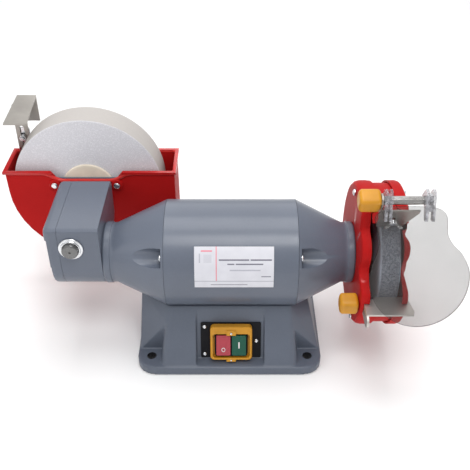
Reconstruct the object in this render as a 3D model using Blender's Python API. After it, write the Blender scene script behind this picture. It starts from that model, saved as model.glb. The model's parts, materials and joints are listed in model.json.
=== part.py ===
"""Combination bench grinder: a dry wheel on the motor shaft and a slow wet stone driven through a worm gear.

Metres, +Z up. The origin is the centre of the base's underside, +X runs along the motor towards the dry
wheel, and the operator stands at -Y. The wet stone turns on a shaft parallel to Y behind the gearbox.
"""

import math

import bmesh
import bpy
from mathutils import Matrix, Vector

# Frame
GAP = 0.0003
AXIS_Z = 0.134
TO_X = (0.0, math.pi / 2, 0.0)
TO_Y = (-math.pi / 2, 0.0, 0.0)
TO_FRONT = (math.pi / 2, 0.0, 0.0)
ROUND = 32
MEDIUM = 20
SMALL = 14
TINY = 8

# Motor
MOTOR_R = 0.067
MOTOR_WALL = 0.004
SHELL_LEFT = -0.0780
SHELL_RIGHT = 0.0830
CONE_LEFT = -0.1410
CONE_RIGHT = 0.1410
NECK_R = 0.038
NECK_LEFT = -0.1552
NECK_RIGHT = 0.1547
BEARING_R = 0.020
BEARING_BORE = 0.0085
SHAFT_R = 0.0082
BEARINGS = {"left_bearing": (-0.1460, -0.1340), "right_bearing": (0.1350, 0.1470)}
TIE_BOLTS = {"tie_bolt_front": 30, "tie_bolt_back": 150, "tie_bolt_bottom": 270}
TIE_R = 0.0590
TIE_BOLT_R = 0.0019
TIE_HOLE_R = 0.0023
TROUGH_CENTRE = 0.0610
TROUGH_R = 0.0120
TROUGH_WALL = 0.0022
TROUGH_LENGTH = 0.0340
END_WALL = 0.0030
LABEL_LEFT = -0.0410
LABEL_RIGHT = 0.0533
LABEL_ANGLES = (math.radians(-1.5), math.radians(42.7))
STATOR_LEFT = -0.035
STATOR_RIGHT = 0.040
STATOR_BORE = 0.035
ROTOR_R = 0.0342

# Base
BASE_HALF_X = 0.119
BASE_HALF_Y = 0.085
BASE_CORNER = 0.024
FLANGE_TOP = 0.012
SADDLE_TOP = 0.0835
HOLE_X = 0.101
HOLE_Y = 0.063
HOLE_R = 0.0058
PLATE_THICKNESS = 0.002
BACK_SLOPE = math.atan2(0.0825 - 0.0465, SADDLE_TOP - 0.010)
GLAND_PLACE = (0.045, 0.0717, 0.032)
GLAND_TURN = (BACK_SLOPE - math.pi / 2, 0.0, 0.0)
GLAND_HOLE_R = 0.0083
SWITCH_POCKET = 0.0283
RECESS_FRONT = -0.100
# One half of each of the base's flared wings, front to back: foot, pedestal corner, pedestal top, outer top
WING_LEFT = ((-0.1172, 0.0490, 0.0100), (-0.0650, 0.0490, 0.0100), (-0.0795, 0.0557, 0.0630),
             (-0.0770, 0.0455, 0.0835), (-0.1130, 0.0170, 0.0850))
WING_RIGHT = ((0.1172, 0.0490, 0.0100), (0.0650, 0.0490, 0.0100), (0.0800, 0.0580, 0.0580),
              (0.0775, 0.0455, 0.0835), (0.0990, 0.0170, 0.0850))

# Switch, on the sloping back of the recess
SWITCH_SLOPE = math.radians(15.95)
SWITCH_CENTRE = (0.0019, -0.0600, 0.0385)
SWITCH_OFFSET = (0.0005, 0.0, 0.0)
RECESS_LEFT = -0.042
RECESS_RIGHT = 0.0445

# Gearbox
WET_X = -0.190
WET_Z = 0.168
BOX_LEFT = -0.205
BOX_RIGHT = -0.1555
BOX_FRONT = -0.038
BOX_BACK = 0.077
BOX_TOP = 0.195
BOX_WALL = 0.0025
COVER_LEFT = -0.222
COVER_RIM = 0.0080
END_BEARING_R = 0.0130
MODULE = 0.002
WHEEL_TEETH = 22
WORM_PITCH_R = 0.012
WHEEL_PITCH_R = MODULE * WHEEL_TEETH / 2
WORM_ROOT_R = 0.0095
WORM_TIP_R = 0.0140
WHEEL_ROOT_R = 0.0195
WHEEL_TIP_R = 0.0240
WORM_LENGTH = 0.028
WHEEL_WIDTH = 0.014
THREAD_HALF = 0.00125
WET_SHAFT_R = 0.010
WHEEL_PHASE = math.pi / 2

# Wet stone and its tray
WET_R = 0.100
WET_FRONT = 0.100
WET_BACK = 0.140
TRAY_TOP = 0.198
TRAY_WALL = 0.0026
TRAY_LEFT = -0.297
TRAY_RIGHT = -0.073
TRAY_FRONT = 0.090
TRAY_BACK = 0.1512
TRAY_ARC_R = 0.1065
TRAY_LIP = 0.0032
DIP_R = 0.0187
DIP_Z = 0.1838
EAR_X = (-0.233, -0.150)
EAR_Z = 0.179

# Wet tool rest, on the tray's back wall
REST_BOLT_X = -0.2810
REST_BOLT_Z = 0.2210
BRACKET_BACK = 0.1483
LEG_BACK = 0.1457
LEG_FRONT = 0.1437
TABLE_TOP = 0.2705
TABLE_THICKNESS = 0.0020

# Dry wheel and its guard
DRY_R = 0.075
DRY_LEFT = 0.178
DRY_RIGHT = 0.202
GUARD_R = 0.091
GUARD_LEFT = 0.155
GUARD_WALL = 0.0025
GUARD_RIGHT = 0.212
BAND_R = 0.0878
BAND_WALL = 0.0022
BAND_START = math.radians(60)
BAND_END = math.radians(-16)
OPENING_STEPS = 15
BACK_STEPS = 18
GUARD_BOLT_R = 0.0805
GUARD_BOLTS = {"guard_bolt_top": 102, "guard_bolt_back": 200, "guard_bolt_bottom": 306}

# Dry tool rest
REST_TOP = 0.1245
REST_FRONT = -0.108
REST_BACK = -0.0765
REST_THICKNESS = 0.0025
REST_LEG_X = 0.1603
REST_BOLT = (-0.076, 0.1140)
SMALL_KNOB = 0.0222

# Eye shield
ROD_Y = -0.056
ROD_Z = 0.249
ROD_R = 0.005
SHIELD_LEAN = math.radians(67.2)
SHIELD_THICKNESS = 0.0025
SHIELD_OFFSET = 0.0063
BIG_KNOB = 0.0250


# Materials: name, colour, roughness, metallic
PAINT = ("grey_blue_paint", (0.150, 0.180, 0.225), 0.45, 0.0)
BASE_PAINT = ("base_paint", (0.140, 0.168, 0.212), 0.50, 0.0)
RED = ("red_paint", (0.520, 0.020, 0.018), 0.35, 0.0)
STEEL = ("steel", (0.560, 0.560, 0.560), 0.35, 1.0)
ZINC = ("zinc_plated_steel", (0.720, 0.730, 0.740), 0.30, 1.0)
DARK_STEEL = ("dark_steel", (0.180, 0.180, 0.190), 0.45, 1.0)
COPPER = ("copper_winding", (0.600, 0.250, 0.110), 0.40, 1.0)
BRONZE = ("bronze", (0.600, 0.400, 0.180), 0.35, 1.0)
BLACK = ("black_plastic", (0.020, 0.020, 0.024), 0.50, 0.0)
YELLOW = ("yellow_plastic", (0.650, 0.330, 0.030), 0.40, 0.0)
ORANGE = ("orange_knob_plastic", (0.800, 0.360, 0.030), 0.45, 0.0)
STOP_RED = ("stop_red_plastic", (0.420, 0.070, 0.090), 0.45, 0.0)
START_GREEN = ("start_green_plastic", (0.015, 0.095, 0.065), 0.45, 0.0)
WET_GRIT = ("wet_stone_grit", (0.580, 0.570, 0.590), 0.90, 0.0)
DRY_GRIT = ("dry_stone_grit", (0.170, 0.180, 0.190), 0.90, 0.0)
CREAM = ("cream_plastic", (0.680, 0.560, 0.430), 0.50, 0.0)
CLEAR = ("clear_plastic", (0.800, 0.800, 0.780), 0.10, 0.0)
WHITE = ("white_label", (0.850, 0.850, 0.860), 0.40, 0.0)


def clear_scene():
    for obj in list(bpy.data.objects):
        bpy.data.objects.remove(obj, do_unlink=True)


def material(spec):
    """The material of a (name, colour, roughness, metallic) row, made once."""
    name, colour, roughness, metallic = spec
    found = bpy.data.materials.get(name)
    if found:
        return found
    made = bpy.data.materials.new(name)
    made.use_nodes = True
    shader = made.node_tree.nodes["Principled BSDF"]
    shader.inputs["Base Color"].default_value = (*colour, 1.0)
    shader.inputs["Roughness"].default_value = roughness
    shader.inputs["Metallic"].default_value = metallic
    made.diffuse_color = (*colour, 1.0)
    return made


def place(name, shape, spec, location=(0.0, 0.0, 0.0), rotation=(0.0, 0.0, 0.0), parent=None):
    """Turn a bmesh into a named object with its own material."""
    bmesh.ops.remove_doubles(shape, verts=shape.verts, dist=0.000001)
    bmesh.ops.recalc_face_normals(shape, faces=shape.faces)
    mesh = bpy.data.meshes.new(name)
    shape.to_mesh(mesh)
    shape.free()
    mesh.shade_smooth()
    mesh.set_sharp_from_angle(angle=math.radians(32))
    obj = bpy.data.objects.new(name, mesh)
    obj.location = location
    obj.rotation_euler = rotation
    obj.parent = parent
    bpy.context.scene.collection.objects.link(obj)
    mesh.materials.append(material(spec))
    return obj


def frame_empty(name, location, rotation=(0.0, 0.0, 0.0)):
    """A guide that carries pieces standing on a sloping plane or a joint's axis."""
    empty = bpy.data.objects.new(name, None)
    empty.location = location
    empty.rotation_euler = rotation
    empty.empty_display_size = 0.02
    bpy.context.scene.collection.objects.link(empty)
    return empty


def boolean(obj, shape, operation="DIFFERENCE", location=(0.0, 0.0, 0.0), rotation=(0.0, 0.0, 0.0)):
    """Cut a shape from an object, or join it on, and keep the cutter as a hidden guide."""
    cutter = place(obj.name + "_cutter", shape, STEEL, location, rotation, obj.parent)
    cutter.hide_render = True
    cutter.display_type = "WIRE"
    modifier = obj.modifiers.new("cut" if operation == "DIFFERENCE" else "join", "BOOLEAN")
    modifier.operation = operation
    modifier.solver = "EXACT"
    modifier.object = cutter
    return cutter


# Mesh builders. Each adds one closed body to a bmesh.


def skin(shape, rings, closed=False):
    """Join rings of points by quads. An open stack gets a cap at each end, a closed one runs round."""
    rows = [[shape.verts.new(point) for point in ring] for ring in rings]
    count = len(rows)
    for i in range(count if closed else count - 1):
        low = rows[i]
        high = rows[(i + 1) % count]
        for j in range(len(low)):
            k = (j + 1) % len(low)
            shape.faces.new((low[j], low[k], high[k], high[j]))
    if not closed:
        shape.faces.new(list(reversed(rows[0])))
        shape.faces.new(rows[-1])
    return shape


def circle(radius, height, segments, centre=(0.0, 0.0)):
    """A ring of points at a height, counter-clockwise."""
    points = []
    for i in range(segments):
        angle = 2 * math.pi * i / segments
        points.append((centre[0] + radius * math.cos(angle), centre[1] + radius * math.sin(angle), height))
    return points


def turned(profile, bore=0.0, segments=SMALL, shape=None, centre=(0.0, 0.0)):
    """A turned body from (height, radius) points along local Z. A bore makes it a ring."""
    shape = shape or bmesh.new()
    rings = [circle(radius, height, segments, centre) for height, radius in profile]
    if bore:
        rings.append(circle(bore, profile[-1][0], segments, centre))
        rings.append(circle(bore, profile[0][0], segments, centre))
    return skin(shape, rings, closed=bool(bore))


def ring_profile(profile, segments=SMALL, shape=None):
    """A hollow turned body from a closed (height, radius) outline."""
    shape = shape or bmesh.new()
    return skin(shape, [circle(radius, height, segments) for height, radius in profile], closed=True)


def prism(outline, low, high, shape=None, chamfer=0.0, centre=(0.0, 0.0)):
    """Extrude an (x, y) outline along local Z, with an optional chamfer on its upper edge."""
    shape = shape or bmesh.new()
    rings = [[(x, y, low) for x, y in outline], [(x, y, high - chamfer) for x, y in outline]]
    if chamfer:
        size = max(math.hypot(x - centre[0], y - centre[1]) for x, y in outline)
        k = 1 - chamfer / size
        top = [(centre[0] + k * (x - centre[0]), centre[1] + k * (y - centre[1]), high) for x, y in outline]
        rings.append(top)
    return skin(shape, rings)


def block(low, high, shape=None):
    """A box between two opposite corners."""
    outline = [(low[0], low[1]), (high[0], low[1]), (high[0], high[1]), (low[0], high[1])]
    return prism(outline, low[2], high[2], shape)


def arc(centre, radius, start, end, steps):
    """Points of an arc in a plane, from start to end angle."""
    points = []
    for i in range(steps + 1):
        angle = start + (end - start) * i / steps
        points.append((centre[0] + radius * math.cos(angle), centre[1] + radius * math.sin(angle)))
    return points


def rounded(left, right, low, high, radius, steps=4):
    """A rectangle with round corners, counter-clockwise."""
    quarter = math.pi / 2
    corners = ((right, low, -1), (right, high, 0), (left, high, 1), (left, low, 2))
    points = []
    for x, y, turn in corners:
        inward = (math.copysign(radius, left + right - 2 * x), math.copysign(radius, low + high - 2 * y))
        points += arc((x + inward[0], y + inward[1]), radius, turn * quarter, (turn + 1) * quarter, steps)
    return points


def loft(levels, shape=None):
    """Skin (x, y) outlines at their heights."""
    return skin(shape or bmesh.new(), [[(x, y, height) for x, y in outline] for height, outline in levels])


def side(points):
    """An outline drawn in world (y, z), as local (x, y) of a piece laid along X by TO_X."""
    return [(-z, y) for y, z in points]


def polar(angle, radius):
    """World (y, z) on a circle round the motor axis; angle 0 points at the operator."""
    return (-radius * math.cos(angle), AXIS_Z + radius * math.sin(angle))


def moved(shape, offset):
    """Shift a shape before it is placed."""
    bmesh.ops.translate(shape, verts=shape.verts, vec=Vector(offset))
    return shape


def merge(shape, other):
    """Add another shape's bodies to a shape, using it up."""
    mesh = bpy.data.meshes.new("piece")
    other.to_mesh(mesh)
    other.free()
    shape.from_mesh(mesh)
    bpy.data.meshes.remove(mesh)
    return shape


def nut(across, bore, low, high, shape=None):
    """A hexagon nut with its bore, along local Z."""
    shape = shape or bmesh.new()
    outer = [(x, y) for x, y, _ in circle(across / math.sqrt(3), 0, 6)]
    inner = [(bore * math.cos(math.pi / 3 * i), bore * math.sin(math.pi / 3 * i)) for i in range(6)]
    rings = [[(x, y, low) for x, y in outer], [(x, y, high) for x, y in outer]]
    rings += [[(x, y, high) for x, y in inner], [(x, y, low) for x, y in inner]]
    return skin(shape, rings, closed=True)


# Base and motor


def motor_envelope(extra):
    """The outside of the whole motor, for cutting its saddle in the base."""
    return turned(
        [
            (-0.17, NECK_R + extra),
            (CONE_LEFT, NECK_R + extra),
            (SHELL_LEFT, MOTOR_R + extra),
            (SHELL_RIGHT, MOTOR_R + extra),
            (CONE_RIGHT, NECK_R + extra),
            (0.17, NECK_R + extra),
        ],
        segments=ROUND,
    )


def hull(points):
    """The convex body of some points and their mirror images across the motor's middle plane."""
    shape = bmesh.new()
    for x, y, z in points:
        shape.verts.new((x, y, z))
        shape.verts.new((x, -y, z))
    bmesh.ops.convex_hull(shape, input=shape.verts)
    return shape


def base_casting():
    """The cast base: a bolted flange, a tapering pedestal, four flared wings and the switch's recess."""
    low = rounded(-BASE_HALF_X, BASE_HALF_X, -BASE_HALF_Y, BASE_HALF_Y, BASE_CORNER)
    chamfer = 0.0015
    half_x = BASE_HALF_X - chamfer
    half_y = BASE_HALF_Y - chamfer
    top = rounded(-half_x, half_x, -half_y, half_y, BASE_CORNER)
    flange = loft([(0, low), (FLANGE_TOP - chamfer, low), (FLANGE_TOP, top)])
    obj = place("base_casting", flange, BASE_PAINT)
    pedestal = loft(
        [
            (0.004, rounded(-0.0886, 0.0886, -0.0838, 0.0838, 0.009)),
            (0.010, rounded(-0.0880, 0.0880, -0.0825, 0.0825, 0.009)),
            (SADDLE_TOP, rounded(-0.0785, 0.0795, -0.0465, 0.0465, 0.006)),
        ]
    )
    boolean(obj, pedestal, "UNION")
    for wing_points in (WING_LEFT, WING_RIGHT):
        boolean(obj, hull(wing_points), "UNION")
    boolean(obj, motor_envelope(GAP), rotation=TO_X, location=(0, 0, AXIS_Z))
    cavity = loft(
        [
            (PLATE_THICKNESS - 0.001, rounded(-0.078, 0.078, -0.0600, 0.0690, 0.008)),
            (0.060, rounded(-0.072, 0.072, -0.0435, 0.0420, 0.008)),
        ]
    )
    boolean(obj, cavity)
    pocket = prism(rounded(-0.0883, 0.0883, -0.0683, 0.0773, 0.008), -0.001, PLATE_THICKNESS + GAP)
    boolean(obj, pocket)
    bottom = FLANGE_TOP + 0.0005
    slope = math.tan(SWITCH_SLOPE)
    foot = SWITCH_CENTRE[1] - (SWITCH_CENTRE[2] - bottom) * slope
    head = SADDLE_TOP + 0.010
    outline = [
        (RECESS_FRONT, bottom),
        (foot, bottom),
        (foot + (head - bottom) * slope, head),
        (RECESS_FRONT, head),
    ]
    boolean(obj, prism(side(outline), RECESS_LEFT, RECESS_RIGHT), rotation=TO_X)
    window = prism(rounded(-0.0225, 0.0225, -0.0195, 0.0195, 0.002), -SWITCH_POCKET, 0.006)
    slot = boolean(obj, window)
    slot.parent = bpy.data.objects["switch_plane"]
    slot.location = SWITCH_OFFSET
    holes = bmesh.new()
    for x in (-HOLE_X, HOLE_X):
        for y in (-HOLE_Y, HOLE_Y):
            turned([(-0.001, HOLE_R), (0.020, HOLE_R)], shape=holes, segments=SMALL, centre=(x, y))
    boolean(obj, holes)
    inlet = turned([(-0.035, GLAND_HOLE_R), (0.010, GLAND_HOLE_R)])
    boolean(obj, inlet, location=GLAND_PLACE, rotation=GLAND_TURN)


def base_plate():
    """The sheet that closes the base's underside, sprung into its pocket."""
    plate = prism(rounded(-0.088, 0.088, -0.068, 0.077, 0.008), 0, PLATE_THICKNESS)
    place("base_plate", plate, STEEL)


def cable_gland():
    """The moulded mains inlet at the back of the base."""
    profile = [
        (-0.014, 0.0078),
        (0.0006, 0.0078),
        (0.0006, 0.0115),
        (0.004, 0.0115),
        (0.005, 0.0085),
        (0.016, 0.0070),
    ]
    place("cable_gland", turned(profile, bore=0.0038), BLACK, GLAND_PLACE, GLAND_TURN)


def capacitor():
    """The motor capacitor lies in the base's hollow."""
    body = turned([(-0.030, 0.0105), (-0.029, 0.0120), (0.029, 0.0120), (0.030, 0.0105)], segments=SMALL)
    place("capacitor", body, BLACK, (-0.032, 0.030, 0.0180), TO_X)


def switch():
    """Magnetic safety switch: black plate, yellow frame, red stop and green start buttons."""
    plane = bpy.data.objects["switch_plane"]
    centre = SWITCH_OFFSET
    sheet = prism(rounded(-0.0384, 0.0384, -0.0250, 0.0250, 0.002), GAP, 0.0023)
    plate = place("switch_plate", sheet, BLACK, parent=plane)
    body = prism(rounded(-0.0215, 0.0215, -0.0185, 0.0185, 0.002), -0.0235, 0.0010)
    boolean(plate, body, "UNION", location=centre)
    outer = rounded(-0.0265, 0.0265, -0.0235, 0.0235, 0.005)
    frame = place("switch_frame", prism(outer, 0.0026, 0.0120, chamfer=0.0010), YELLOW, centre, parent=plane)
    boolean(frame, prism(rounded(-0.0235, 0.0235, -0.0208, 0.0135, 0.004), 0.0055, 0.0200), location=centre)
    boolean(frame, prism(rounded(-0.0210, 0.0210, -0.0190, 0.0125, 0.003), 0.0010, 0.0070), location=centre)
    tabs = bmesh.new()
    block((-0.0060, 0.0120, 0.0070), (0.0060, 0.0185, 0.0135), tabs)
    block((-0.0060, -0.0262, 0.0035), (0.0060, -0.0222, 0.0115), tabs)
    boolean(frame, tabs, "UNION", location=centre)
    for name, spec, low, high in (
        ("stop_button", STOP_RED, -0.0190, -0.0008),
        ("start_button", START_GREEN, 0.0008, 0.0190),
    ):
        middle = ((low + high) / 2, -0.003)
        outline = rounded(low, high, -0.0172, 0.0112, 0.0015)
        cap = prism(outline, 0.0055, 0.0125, chamfer=0.0008, centre=middle)
        place(name, cap, spec, centre, parent=plane)


def motor_shell():
    """The tube between the end bells, with a hole below for the wires from the base."""
    obj = place(
        "motor_shell",
        turned(
            [(SHELL_LEFT + GAP / 2, MOTOR_R), (SHELL_RIGHT - GAP / 2, MOTOR_R)],
            bore=MOTOR_R - MOTOR_WALL,
            segments=ROUND,
        ),
        PAINT,
        (0, 0, AXIS_Z),
        TO_X,
    )
    boolean(obj, turned([(0, 0.0065), (0.03, 0.0065)], segments=TINY), location=(0, 0, 0.0597))


def tie_spots():
    """Where the tie bolts run, in the local (x, y) of a piece laid along the motor. Angle 0 is the front."""
    spots = []
    for degrees in TIE_BOLTS.values():
        y, z = polar(math.radians(degrees), TIE_R)
        spots.append((AXIS_Z - z, y))
    return spots


def trough_wall(spot, seam, cone, direction):
    """The wall behind a tie bolt's trough, along local Z, kept inside the bell's cone."""
    outward = Vector(spot).normalized()
    across = Vector((-outward.y, outward.x))
    reach = TROUGH_R + TROUGH_WALL
    steps = 6
    rings = []
    for i in range(steps + 1):
        along = GAP + TROUGH_LENGTH * i / steps
        limit = MOTOR_R + (NECK_R - MOTOR_R) * along / abs(cone - seam) - 0.0010
        ring = []
        for x, y, _ in circle(reach, 0, MEDIUM):
            point = outward * (TROUGH_CENTRE + x) + across * y
            if point.length > limit:
                point *= limit / point.length
            ring.append((point.x, point.y, seam + direction * along))
        rings.append(ring)
    return skin(bmesh.new(), rings)


def end_bell(name, seam, cone, neck, bearing, direction):
    """A cone-shaped end shield with its bearing seat, from the shell's seam out to its neck."""
    d = direction
    start = seam + d * GAP / 2
    seat_in = bearing[0] if d > 0 else bearing[1]
    seat_out = bearing[1] if d > 0 else bearing[0]
    wall = MOTOR_WALL
    seat_r = BEARING_R + GAP
    outline = [
        (start, MOTOR_R),
        (cone, NECK_R),
        (neck, NECK_R),
        (neck, 0.0120),
        (seat_out + d * GAP, 0.0120),
        (seat_out + d * GAP, seat_r),
        (seat_in - d * 0.0005, seat_r),
        (seat_in - d * 0.0005, seat_r + 0.004),
        (cone - d * 0.018, NECK_R + 0.001),
        (start + d * 0.003, MOTOR_R - wall - 0.001),
        (start, MOTOR_R - wall - 0.001),
    ]
    obj = place(name, ring_profile(outline, segments=ROUND), PAINT, (0, 0, AXIS_Z), TO_X)
    near = start + d * END_WALL
    walls = bmesh.new()
    troughs = bmesh.new()
    holes = bmesh.new()
    for spot in tie_spots():
        merge(walls, trough_wall(spot, seam, cone, d))
        centre = Vector(spot) * (TROUGH_CENTRE / TIE_R)
        turned(sorted([(near, TROUGH_R), (cone, TROUGH_R)]), shape=troughs, segments=MEDIUM, centre=centre)
        through = sorted([(start - d * 0.01, TIE_HOLE_R), (near + d * 0.001, TIE_HOLE_R)])
        turned(through, shape=holes, segments=TINY, centre=spot)
    boolean(obj, walls, "UNION", location=(0, 0, AXIS_Z), rotation=TO_X)
    boolean(obj, troughs, location=(0, 0, AXIS_Z), rotation=TO_X)
    boolean(obj, holes, location=(0, 0, AXIS_Z), rotation=TO_X)


def tie_bolts():
    """Long bolts that clamp both end bells to the shell, each with its nut drawn up at the right-hand end."""
    left = SHELL_LEFT - GAP / 2 - END_WALL - GAP
    right = SHELL_RIGHT + GAP / 2 + END_WALL + GAP
    profile = [
        (left - 0.0028, 0.0026),
        (left - 0.0016, 0.0042),
        (left, 0.0042),
        (left, TIE_BOLT_R),
        (right, TIE_BOLT_R),
        (right, 0.0042),
        (right + 0.0016, 0.0042),
        (right + 0.0028, 0.0026),
    ]
    for name, (x, y) in zip(TIE_BOLTS, tie_spots()):
        place(name, turned(profile, segments=TINY), ZINC, (0, y, AXIS_Z - x), TO_X)


def motor_inside():
    """The stator's core and windings, and the two ball bearings, each drawn as one ring."""
    core_r = MOTOR_R - MOTOR_WALL - GAP
    core = turned([(STATOR_LEFT, core_r), (STATOR_RIGHT, core_r)], bore=STATOR_BORE, segments=ROUND)
    stator = place("stator_core", core, DARK_STEEL, (0, 0, AXIS_Z), TO_X)
    slots = bmesh.new()
    bars = bmesh.new()
    for i in range(6):
        angle = math.radians(30 + 60 * i)
        for shape, extra, reach in ((slots, GAP, 0.010), (bars, 0.0, 0.002)):
            low = (0.0420 - extra, -0.0040 - extra, STATOR_LEFT - reach)
            high = (0.0520 + extra, 0.0040 + extra, STATOR_RIGHT + reach)
            bar = block(low, high)
            bmesh.ops.rotate(bar, verts=bar.verts, cent=(0, 0, 0), matrix=Matrix.Rotation(angle, 3, "Z"))
            merge(shape, bar)
    for x, y in tie_spots():
        turned([(-0.1, TIE_HOLE_R), (0.1, TIE_HOLE_R)], shape=slots, segments=TINY, centre=(x, y))
    boolean(stator, slots, location=(0, 0, AXIS_Z), rotation=TO_X)
    coils = bmesh.new()
    for start, end in ((STATOR_LEFT - 0.018, STATOR_LEFT - GAP), (STATOR_RIGHT + GAP, STATOR_RIGHT + 0.018)):
        profile = [
            (start, 0.0410),
            (start, 0.0500),
            (start + 0.004, 0.0540),
            (end - 0.004, 0.0540),
            (end, 0.0525),
            (end, 0.0390),
        ]
        skin(coils, [circle(radius, height, SMALL) for height, radius in profile], closed=True)
    winding = place("stator_windings", coils, COPPER, (0, 0, AXIS_Z), TO_X)
    boolean(winding, bars, "UNION", (0, 0, AXIS_Z), TO_X)
    for name, (low, high) in BEARINGS.items():
        middle = (low + high) / 2
        inset = 0.0007
        outline = [
            (low, BEARING_R),
            (high, BEARING_R),
            (high, BEARING_R - 0.003),
            (high - inset, BEARING_R - 0.004),
            (high - inset, BEARING_BORE + 0.004),
            (high, BEARING_BORE + 0.003),
            (high, BEARING_BORE),
            (low, BEARING_BORE),
            (low, BEARING_BORE + 0.003),
            (low + inset, BEARING_BORE + 0.004),
            (low + inset, BEARING_R - 0.004),
            (low, BEARING_R - 0.003),
        ]
        centred = [(height - middle, radius) for height, radius in outline]
        place(name, ring_profile(centred), ZINC, (middle, 0, AXIS_Z), TO_X)


def type_plate():
    """The label: a thin curved plate on the motor's front."""
    outer = MOTOR_R + 0.0008
    inner = MOTOR_R + GAP
    low, high = LABEL_ANGLES
    steps = 12
    ring_out = [polar(low + (high - low) * i / steps, outer) for i in range(steps + 1)]
    ring_in = [polar(high + (low - high) * i / steps, inner) for i in range(steps + 1)]
    place("type_plate", prism(side(ring_out + ring_in), LABEL_LEFT, LABEL_RIGHT), WHITE, rotation=TO_X)


# Rotor


def rotor():
    """The motor shaft, with the dry wheel's inner flange turned on it, and the rotor core."""
    profile = [
        (-0.2175, 0.0046),
        (-0.2170, 0.0050),
        (-0.2055, 0.0050),
        (-0.2055, 0.0070),
        (-0.1675, 0.0070),
        (-0.1670, SHAFT_R),
        (-0.0600, SHAFT_R),
        (-0.0600, 0.0100),
        (0.0600, 0.0100),
        (0.0600, SHAFT_R),
        (0.1690, SHAFT_R),
        (0.1690, 0.0120),
        (0.1710, 0.0240),
        (0.1777, 0.0280),
        (0.1777, 0.0063),
        (0.2152, 0.0063),
        (0.2160, 0.0053),
    ]
    place("rotor_shaft", turned(profile), STEEL, (0, 0, AXIS_Z), TO_X)
    core = turned([(STATOR_LEFT, ROTOR_R), (STATOR_RIGHT, ROTOR_R)], bore=0.0103, segments=MEDIUM)
    place("rotor_core", core, DARK_STEEL, (0, 0, AXIS_Z), TO_X)


def worm():
    """A single-start right-hand worm on a sleeve, with a trapezoid thread."""
    lead = math.pi * MODULE
    half = WORM_LENGTH / 2
    sleeve = turned([(-half, WORM_ROOT_R), (half, WORM_ROOT_R)], bore=0.0073, segments=SMALL)
    obj = place("worm", sleeve, STEEL, (WET_X, 0, AXIS_Z), TO_X)
    steps = 12
    turns = 3
    section = [
        (-THREAD_HALF - 0.0010, WORM_ROOT_R - 0.0006),
        (-THREAD_HALF + 0.0007, WORM_TIP_R),
        (THREAD_HALF - 0.0007, WORM_TIP_R),
        (THREAD_HALF + 0.0010, WORM_ROOT_R - 0.0006),
    ]
    rings = []
    for i in range(turns * steps + 1):
        turn = 2 * math.pi * i / steps
        # At the top of the worm a thread gap faces the wheel, so the threads start half a lead away.
        height = lead * (i / steps - turns / 2)
        angle = turn + math.pi + math.pi * turns
        rings.append([(-r * math.cos(angle), -r * math.sin(angle), height + along) for along, r in section])
    boolean(obj, skin(bmesh.new(), rings), "UNION", (WET_X, 0, AXIS_Z), TO_X)


def worm_wheel():
    """The bronze wheel that the worm drives, with teeth set at the worm's lead angle."""
    lead_angle = math.atan(MODULE / 2 / WORM_PITCH_R)
    half = WHEEL_WIDTH / 2
    pitch_angle = 2 * math.pi / WHEEL_TEETH
    tooth = [
        (WHEEL_ROOT_R, -0.0021),
        (WHEEL_PITCH_R, -THREAD_HALF),
        (WHEEL_TIP_R, -0.0007),
        (WHEEL_TIP_R, 0.0007),
        (WHEEL_PITCH_R, THREAD_HALF),
        (WHEEL_ROOT_R, 0.0021),
    ]
    rings = []
    for height in (-half, half):
        twist = height * math.tan(lead_angle) / WHEEL_PITCH_R
        ring = []
        for i in range(WHEEL_TEETH):
            for radius, offset in tooth:
                angle = i * pitch_angle + offset / radius + twist + WHEEL_PHASE
                ring.append((radius * math.cos(angle), radius * math.sin(angle), height))
        rings.append(ring)
    obj = place("worm_wheel", skin(bmesh.new(), rings), BRONZE, (WET_X, 0, WET_Z), TO_Y)
    bore = turned([(-0.02, WET_SHAFT_R + GAP), (0.02, WET_SHAFT_R + GAP)], segments=SMALL)
    boolean(obj, bore, location=(WET_X, 0, WET_Z), rotation=TO_Y)


def dry_wheel():
    """The dry stone with its outer flange and nut."""
    stone = [
        (DRY_LEFT, 0.0730),
        (DRY_LEFT + 0.0015, DRY_R),
        (DRY_RIGHT - 0.0015, DRY_R),
        (DRY_RIGHT, 0.0730),
    ]
    place("dry_stone", turned(stone, bore=0.0066, segments=ROUND), DRY_GRIT, (0, 0, AXIS_Z), TO_X)
    outer = [(0.2023, 0.028), (0.2045, 0.027), (0.2065, 0.018)]
    place("dry_outer_flange", turned(outer, bore=0.0066), ZINC, (0, 0, AXIS_Z), TO_X)
    place("dry_wheel_nut", nut(0.019, 0.0075, 0.2068, 0.2140), ZINC, (0, 0, AXIS_Z), TO_X)


# Dry wheel guard


def ramp(value, low, high):
    """A smooth step from 0 at low to 1 at high."""
    t = min(1.0, max(0.0, (value - low) / (high - low)))
    return t * t * (3 - 2 * t)


def guard_edge(angle):
    """The side covers' radius as a share of the full one: cut back, with two scallops, at the opening."""
    turn = math.degrees(angle)
    opening = ramp(turn, 1, 11) * (1 - ramp(turn, 59, 67))
    upper = math.exp(-(((turn - 56) / 7) ** 2))
    lower = math.exp(-(((turn - 18) / 9) ** 2))
    return 1 - 0.10 * opening - 0.075 * upper - 0.20 * lower


def lip_end(angle, full, open_edge, band_edge):
    """Where a cover's lip ends: over the band, short at the opening, and clear of the band between them."""
    if angle < BAND_END + 0.03 or angle > BAND_START + math.radians(10):
        return full
    return open_edge if angle < BAND_START - math.radians(3) else band_edge


def guard_angles():
    """Angles round the guard, fine over the opening and coarser behind it."""
    fine = [BAND_END + (BAND_START - BAND_END) * i / OPENING_STEPS for i in range(OPENING_STEPS)]
    edge = [BAND_START + math.radians(4) * i for i in range(4)]
    start = BAND_START + math.radians(16)
    end = BAND_END + 2 * math.pi
    coarse = [start + (end - start) * i / BACK_STEPS for i in range(BACK_STEPS)]
    return fine + edge + coarse


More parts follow.
